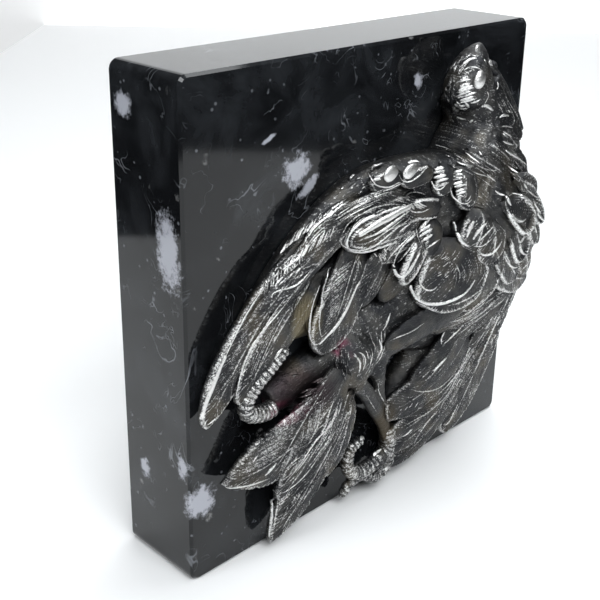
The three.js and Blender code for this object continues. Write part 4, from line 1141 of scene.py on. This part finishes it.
class Finish(Nodes):
    """A material under construction round one Principled shader."""

    def __init__(self, name):
        self.material = bpy.data.materials.new(name)
        self.material.use_nodes = True
        super().__init__(self.material.node_tree)
        self.shader = self.tree.nodes["Principled BSDF"]
        self.place = self.node("TexCoord", output="Object")

    def mix(self, share, first, second):
        """A colour between two others."""
        colours = [c if isinstance(c, Value) else (*c, 1.0) for c in (first, second)]
        return self.node("Mix", {"data_type": "RGBA"}, {0: share, 6: colours[0], 7: colours[1]}, output=2)

    def noise(self, scale, detail=3.0, roughness=0.55, where=None, distortion=0.0):
        return self.node("TexNoise", None, {"Vector": where or self.place, "Scale": scale, "Detail": detail,
                                            "Roughness": roughness, "Distortion": distortion})

    def specks(self, scale):
        """Distance from the nearest of many points strewn at random."""
        return self.node("TexVoronoi", {"feature": "F1"}, {"Vector": self.place, "Scale": scale}, "Distance")

    def centred(self, point, radii, turn=0.0):
        """Distance from a place in the frame, in shares of the radii, after a turn about Y."""
        moved = self.node("Mapping", {"vector_type": "TEXTURE"},
                          {"Vector": self.place, "Location": point, "Rotation": (0, turn, 0), "Scale": radii})
        return self.node("VectorMath", {"operation": "LENGTH"}, {0: moved}, output="Value")

    def done(self, **sockets):
        for name, value in sockets.items():
            self.feed(self.shader.inputs[name.replace("_", " ")], value)
        return self.material


TINT_DEPTH = 30       # tints reach from the flat back out through the whole casting, in mm
YELLOW_GREY = (0.24, 0.205, 0.13)
BROWN = (0.095, 0.075, 0.048)
PLUM = (0.050, 0.034, 0.038)
RED = (0.20, 0.05, 0.09)
RUBBED_SILVER_AND_GLINT = (0.86, 0.855, 0.84)


def silver_finish():
    """Silvered metal: grey with age, darker in its grain and rubbed bright on its ridges, with painted
    highlights where the glints and pads carry the highest polish.
    """
    f = Finish("aged_silver")

    def area(x, z, wide, high, core=0.5):
        """1 inside an egg round a place on the bird in mm, falling to 0 at its edge."""
        radii = (wide * MM, TINT_DEPTH * MM, high * MM)
        return f.centred((x * MM, back_plane, z * MM), radii).step(1.0, core)

    polish = f.node("Attribute", {"attribute_name": "polish"}, output="Fac")
    blotch = f.noise(150, 3)
    speck = f.noise(1500, 3, 0.65)
    grain = f.noise(2800, 2, 0.6)
    vane = f.node("UVMap", {"uv_map": "vane"})
    run = f.node("SeparateXYZ", None, {0: vane})
    aside = f.node("SeparateXYZ", None, {0: vane}, output=1)
    stretched = f.node("CombineXYZ", None, {0: run * 24.0, 1: aside * 4.0})
    streaks = f.noise(1.0, 3, 0.6, where=stretched, distortion=0.4)
    rubbed_and_glinting = polish.step(0.0, 0.35) * 0.5 + 0.5
    # Polish brightens the colour to rubbed silver; on the glints and pads it is a painted highlight.
    wear_and_glint = (streaks - 0.5) * 1.7 + ((speck - 0.5) * 1.6 + (grain - 0.5) * 1.3) * rubbed_and_glinting
    wear_and_glint = (wear_and_glint + polish * 0.95 + (blotch - 0.5) * 0.3).step(0.25, 1.0) ** 1.2
    dark = f.mix(blotch.step(0.35, 0.7), (0.040, 0.041, 0.044), (0.092, 0.090, 0.086))
    dark = f.mix(f.noise(75, 2).step(0.52, 0.72) * 0.5, dark, (0.10, 0.082, 0.054))
    web, ankle, lump = area(-39, 76, 7, 11), area(-1, 26, 8, 12), area(-39, 53, 13, 9)
    for mask, tint in ((web * 0.8, YELLOW_GREY), (ankle * 0.7, BROWN), (lump * 0.7, PLUM)):
        dark = f.mix(mask, dark, tint)
    stain = area(-23.5, 63, 4, 5, 0.4).over(area(-46, 49, 9, 4, 0.4))
    dark = f.mix(stain * blotch.step(0.35, 0.6) * 0.7, dark, RED)
    rough = 0.47 - wear_and_glint * 0.13 + (speck - 0.5) * 0.2
    height = speck * 0.6 + grain * 0.5 + blotch * 0.4 + streaks * 0.9
    bump = f.node("Bump", None, {"Height": height, "Distance": 0.3 * MM, "Strength": 0.9})
    return f.done(Base_Color=f.mix(wear_and_glint, dark, RUBBED_SILVER_AND_GLINT), Roughness=rough, Metallic=1.0, Normal=bump)


# White patches of the marble in mm: x, z, half width, half height and turn on the front, and y, z,
# half depth and half height on the left side
FRONT_PATCHES = [(-34, 118, 5.5, 6, 0.4), (-29, 112.5, 5, 2.2, -0.6), (-71.5, 27, 5.5, 6, 0.3),
                 (17.5, 136, 2.2, 3.2, 0), (-44.8, 129, 0.8, 2.6, 1.2)]
SIDE_PATCHES = [(-9, 103, 5.5, 11), (9, 139, 4.5, 4), (-12, 38, 3, 5), (6, 30, 2.5, 3)]
PATCH_DEPTH = 4       # how far a patch goes into the stone, in mm


def marble_finish():
    """Black marble, polished, with white patches, threads, shells and a faint cloudiness."""
    f = Finish("black_marble")
    cloud = f.noise(45, 5, 0.6, distortion=0.6)
    base = f.mix(cloud.step(0.42, 0.75), (0.0055, 0.006, 0.0068), (0.022, 0.024, 0.027))
    warp = f.noise(60, 4, 0.6)
    ragged = f.noise(420, 4, 0.7)

    long_thread = abs(f.noise(38, 3, 0.5, distortion=1.8) - 0.5).step(0.010, 0.001)
    curly_thread = abs(f.noise(70, 2, 0.5, distortion=2.6) - 0.52).step(0.012, 0.002)
    threads = long_thread * f.noise(55, 2).step(0.52, 0.66) + curly_thread * f.noise(90, 2).step(0.56, 0.68)
    flakes = f.specks(130).step(0.24, 0.14) * f.noise(110, 1).step(0.60, 0.66) * ragged.step(0.40, 0.55)
    dust = f.specks(330).step(0.20, 0.10) * f.noise(260, 1).step(0.56, 0.62)

    patches = 0.0
    for x, z, wide, high, turn in FRONT_PATCHES:
        egg = f.centred((x * MM, block_low.y, z * MM), (wide * MM, PATCH_DEPTH * MM, high * MM), turn)
        patches = (egg + (ragged - 0.5) * 1.7 + (warp - 0.5) * 1.1).step(1.0, 0.45).over(patches)
    for y, z, deep, high in SIDE_PATCHES:
        egg = f.centred((block_low.x, y * MM, z * MM), (PATCH_DEPTH * MM, deep * MM, high * MM))
        patches = (egg + (ragged - 0.5) * 1.8 + (warp - 0.5) * 1.2).step(1.0, 0.4).over(patches)

    colour = f.mix((threads.under(1.0) * 0.6).over(dust * 0.5), base, (0.20, 0.21, 0.23))
    colour = f.mix(flakes * 0.6, colour, (0.24, 0.24, 0.24))
    colour = f.mix(patches * 0.9, colour, (0.42, 0.43, 0.48))
    return f.done(Base_Color=colour, Roughness=0.055 + ragged * 0.03, IOR=1.41)


def white(name, glow=0.0):
    """Matt white, which may glow a little."""
    f = Finish(name)
    return f.done(Base_Color=(0.9, 0.9, 0.9, 1), Roughness=0.8, Emission_Color=(1, 1, 1, 1),
                  Emission_Strength=glow)


# The picture: camera, floor and light

def add_camera():
    place, axes = viewpoint()
    camera = bpy.data.objects.new("camera", bpy.data.cameras.new("camera"))
    bpy.context.scene.collection.objects.link(camera)
    camera.matrix_world = Matrix.Translation(place) @ Matrix(axes).transposed().to_4x4()
    camera.data.sensor_width = 36
    camera.data.lens = 36 * VIEW["focal"] / VIEW["picture"]
    camera.data.shift_y = (VIEW["centre_row"] - VIEW["picture"] / 2) / VIEW["picture"]
    camera.data.clip_start = 0.01
    bpy.context.scene.camera = camera


def add_sheet(name, corners, material):
    mesh = bpy.data.meshes.new(name)
    mesh.from_pydata(corners, [], [(0, 1, 2, 3)])
    mesh.materials.append(material)
    sheet = bpy.data.objects.new(name, mesh)
    bpy.context.scene.collection.objects.link(sheet)


def add_stage():
    """A white table top that runs away from the camera, and a bright wall behind it."""
    ahead, right = Vector((0.706, 0.708, 0)), Vector((0.708, -0.706, 0))
    left, side, near, far = -0.329, 0.421, -0.5, 1.1
    floor = [tuple(ahead * u + right * v) for u, v in ((near, left), (near, side), (far, side), (far, left))]
    add_sheet("table_top", floor, white("white_table"))
    foot, top, wall_left, wall_right, distance = -0.1, 1.0, -0.6, 0.7, 0.95
    wall = [tuple(ahead * distance + right * v + Vector((0, 0, h)))
            for v, h in ((wall_left, foot), (wall_right, foot), (wall_right, top), (wall_left, top))]
    add_sheet("white_wall", wall, white("white_wall", glow=0.35))


def add_light(name, place, aim, size, power):
    light = bpy.data.objects.new(name, bpy.data.lights.new(name, "AREA"))
    light.data.shape = "RECTANGLE"
    light.data.size, light.data.size_y = size
    light.data.energy = power
    light.data.color = (0.95, 0.98, 1.0)
    bpy.context.scene.collection.objects.link(light)
    facing = (Vector(aim) - Vector(place)).to_track_quat("-Z", "Y")
    light.matrix_world = Matrix.Translation(place) @ facing.to_matrix().to_4x4()


def add_lights():
    """Three soft lamps, and a room that is dark below and pale above."""
    aim = (0, 0, 0.08)
    add_light("window", (-0.25, -0.75, 0.95), aim, (0.8, 0.6), 13)
    add_light("lamp_above", (0.3, 0.0, 1.1), aim, (0.8, 0.8), 9)
    add_light("side_fill", (-1.0, 0.1, 0.6), aim, (0.5, 0.5), 5)
    world = bpy.data.worlds.new("room")
    bpy.context.scene.world = world
    world.use_nodes = True
    room = Nodes(world.node_tree)
    height = room.node("SeparateXYZ", None, {0: room.node("TexCoord", output="Generated")}, output="Z")
    background = room.tree.nodes["Background"]
    room.feed(background.inputs["Strength"], height.step(0.0, 0.85, 0.001, 0.055))
    room.feed(background.inputs["Color"], (0.94, 0.975, 1.0, 1.0))


# Putting it together

add_camera()
add_stage()
add_lights()
bpy.context.scene.view_settings.view_transform = "Standard"

silver = silver_finish()
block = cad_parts[BLOCK]
block.data.materials.clear()
block.data.materials.append(marble_finish())

flesh_points = flesh_piece(silver)
flesh.lay(flesh_points)
flesh.settle()
ground.lay(flesh_points)
for group in (left_wing, back, flank, right_wing, tail, legs, head):
    skins = group()
    for laid in skins:
        ground.lay(laid["points"])
    name = "bird_" + group.__name__
    dress(name, mesh_of(name, skins), silver)
ground.settle()
for group in (wing_strands, shoulder_strands, head_strands, lower_strands):
    name = "bird_" + group.__name__
    dress(name, mesh_of(name, group()), silver)
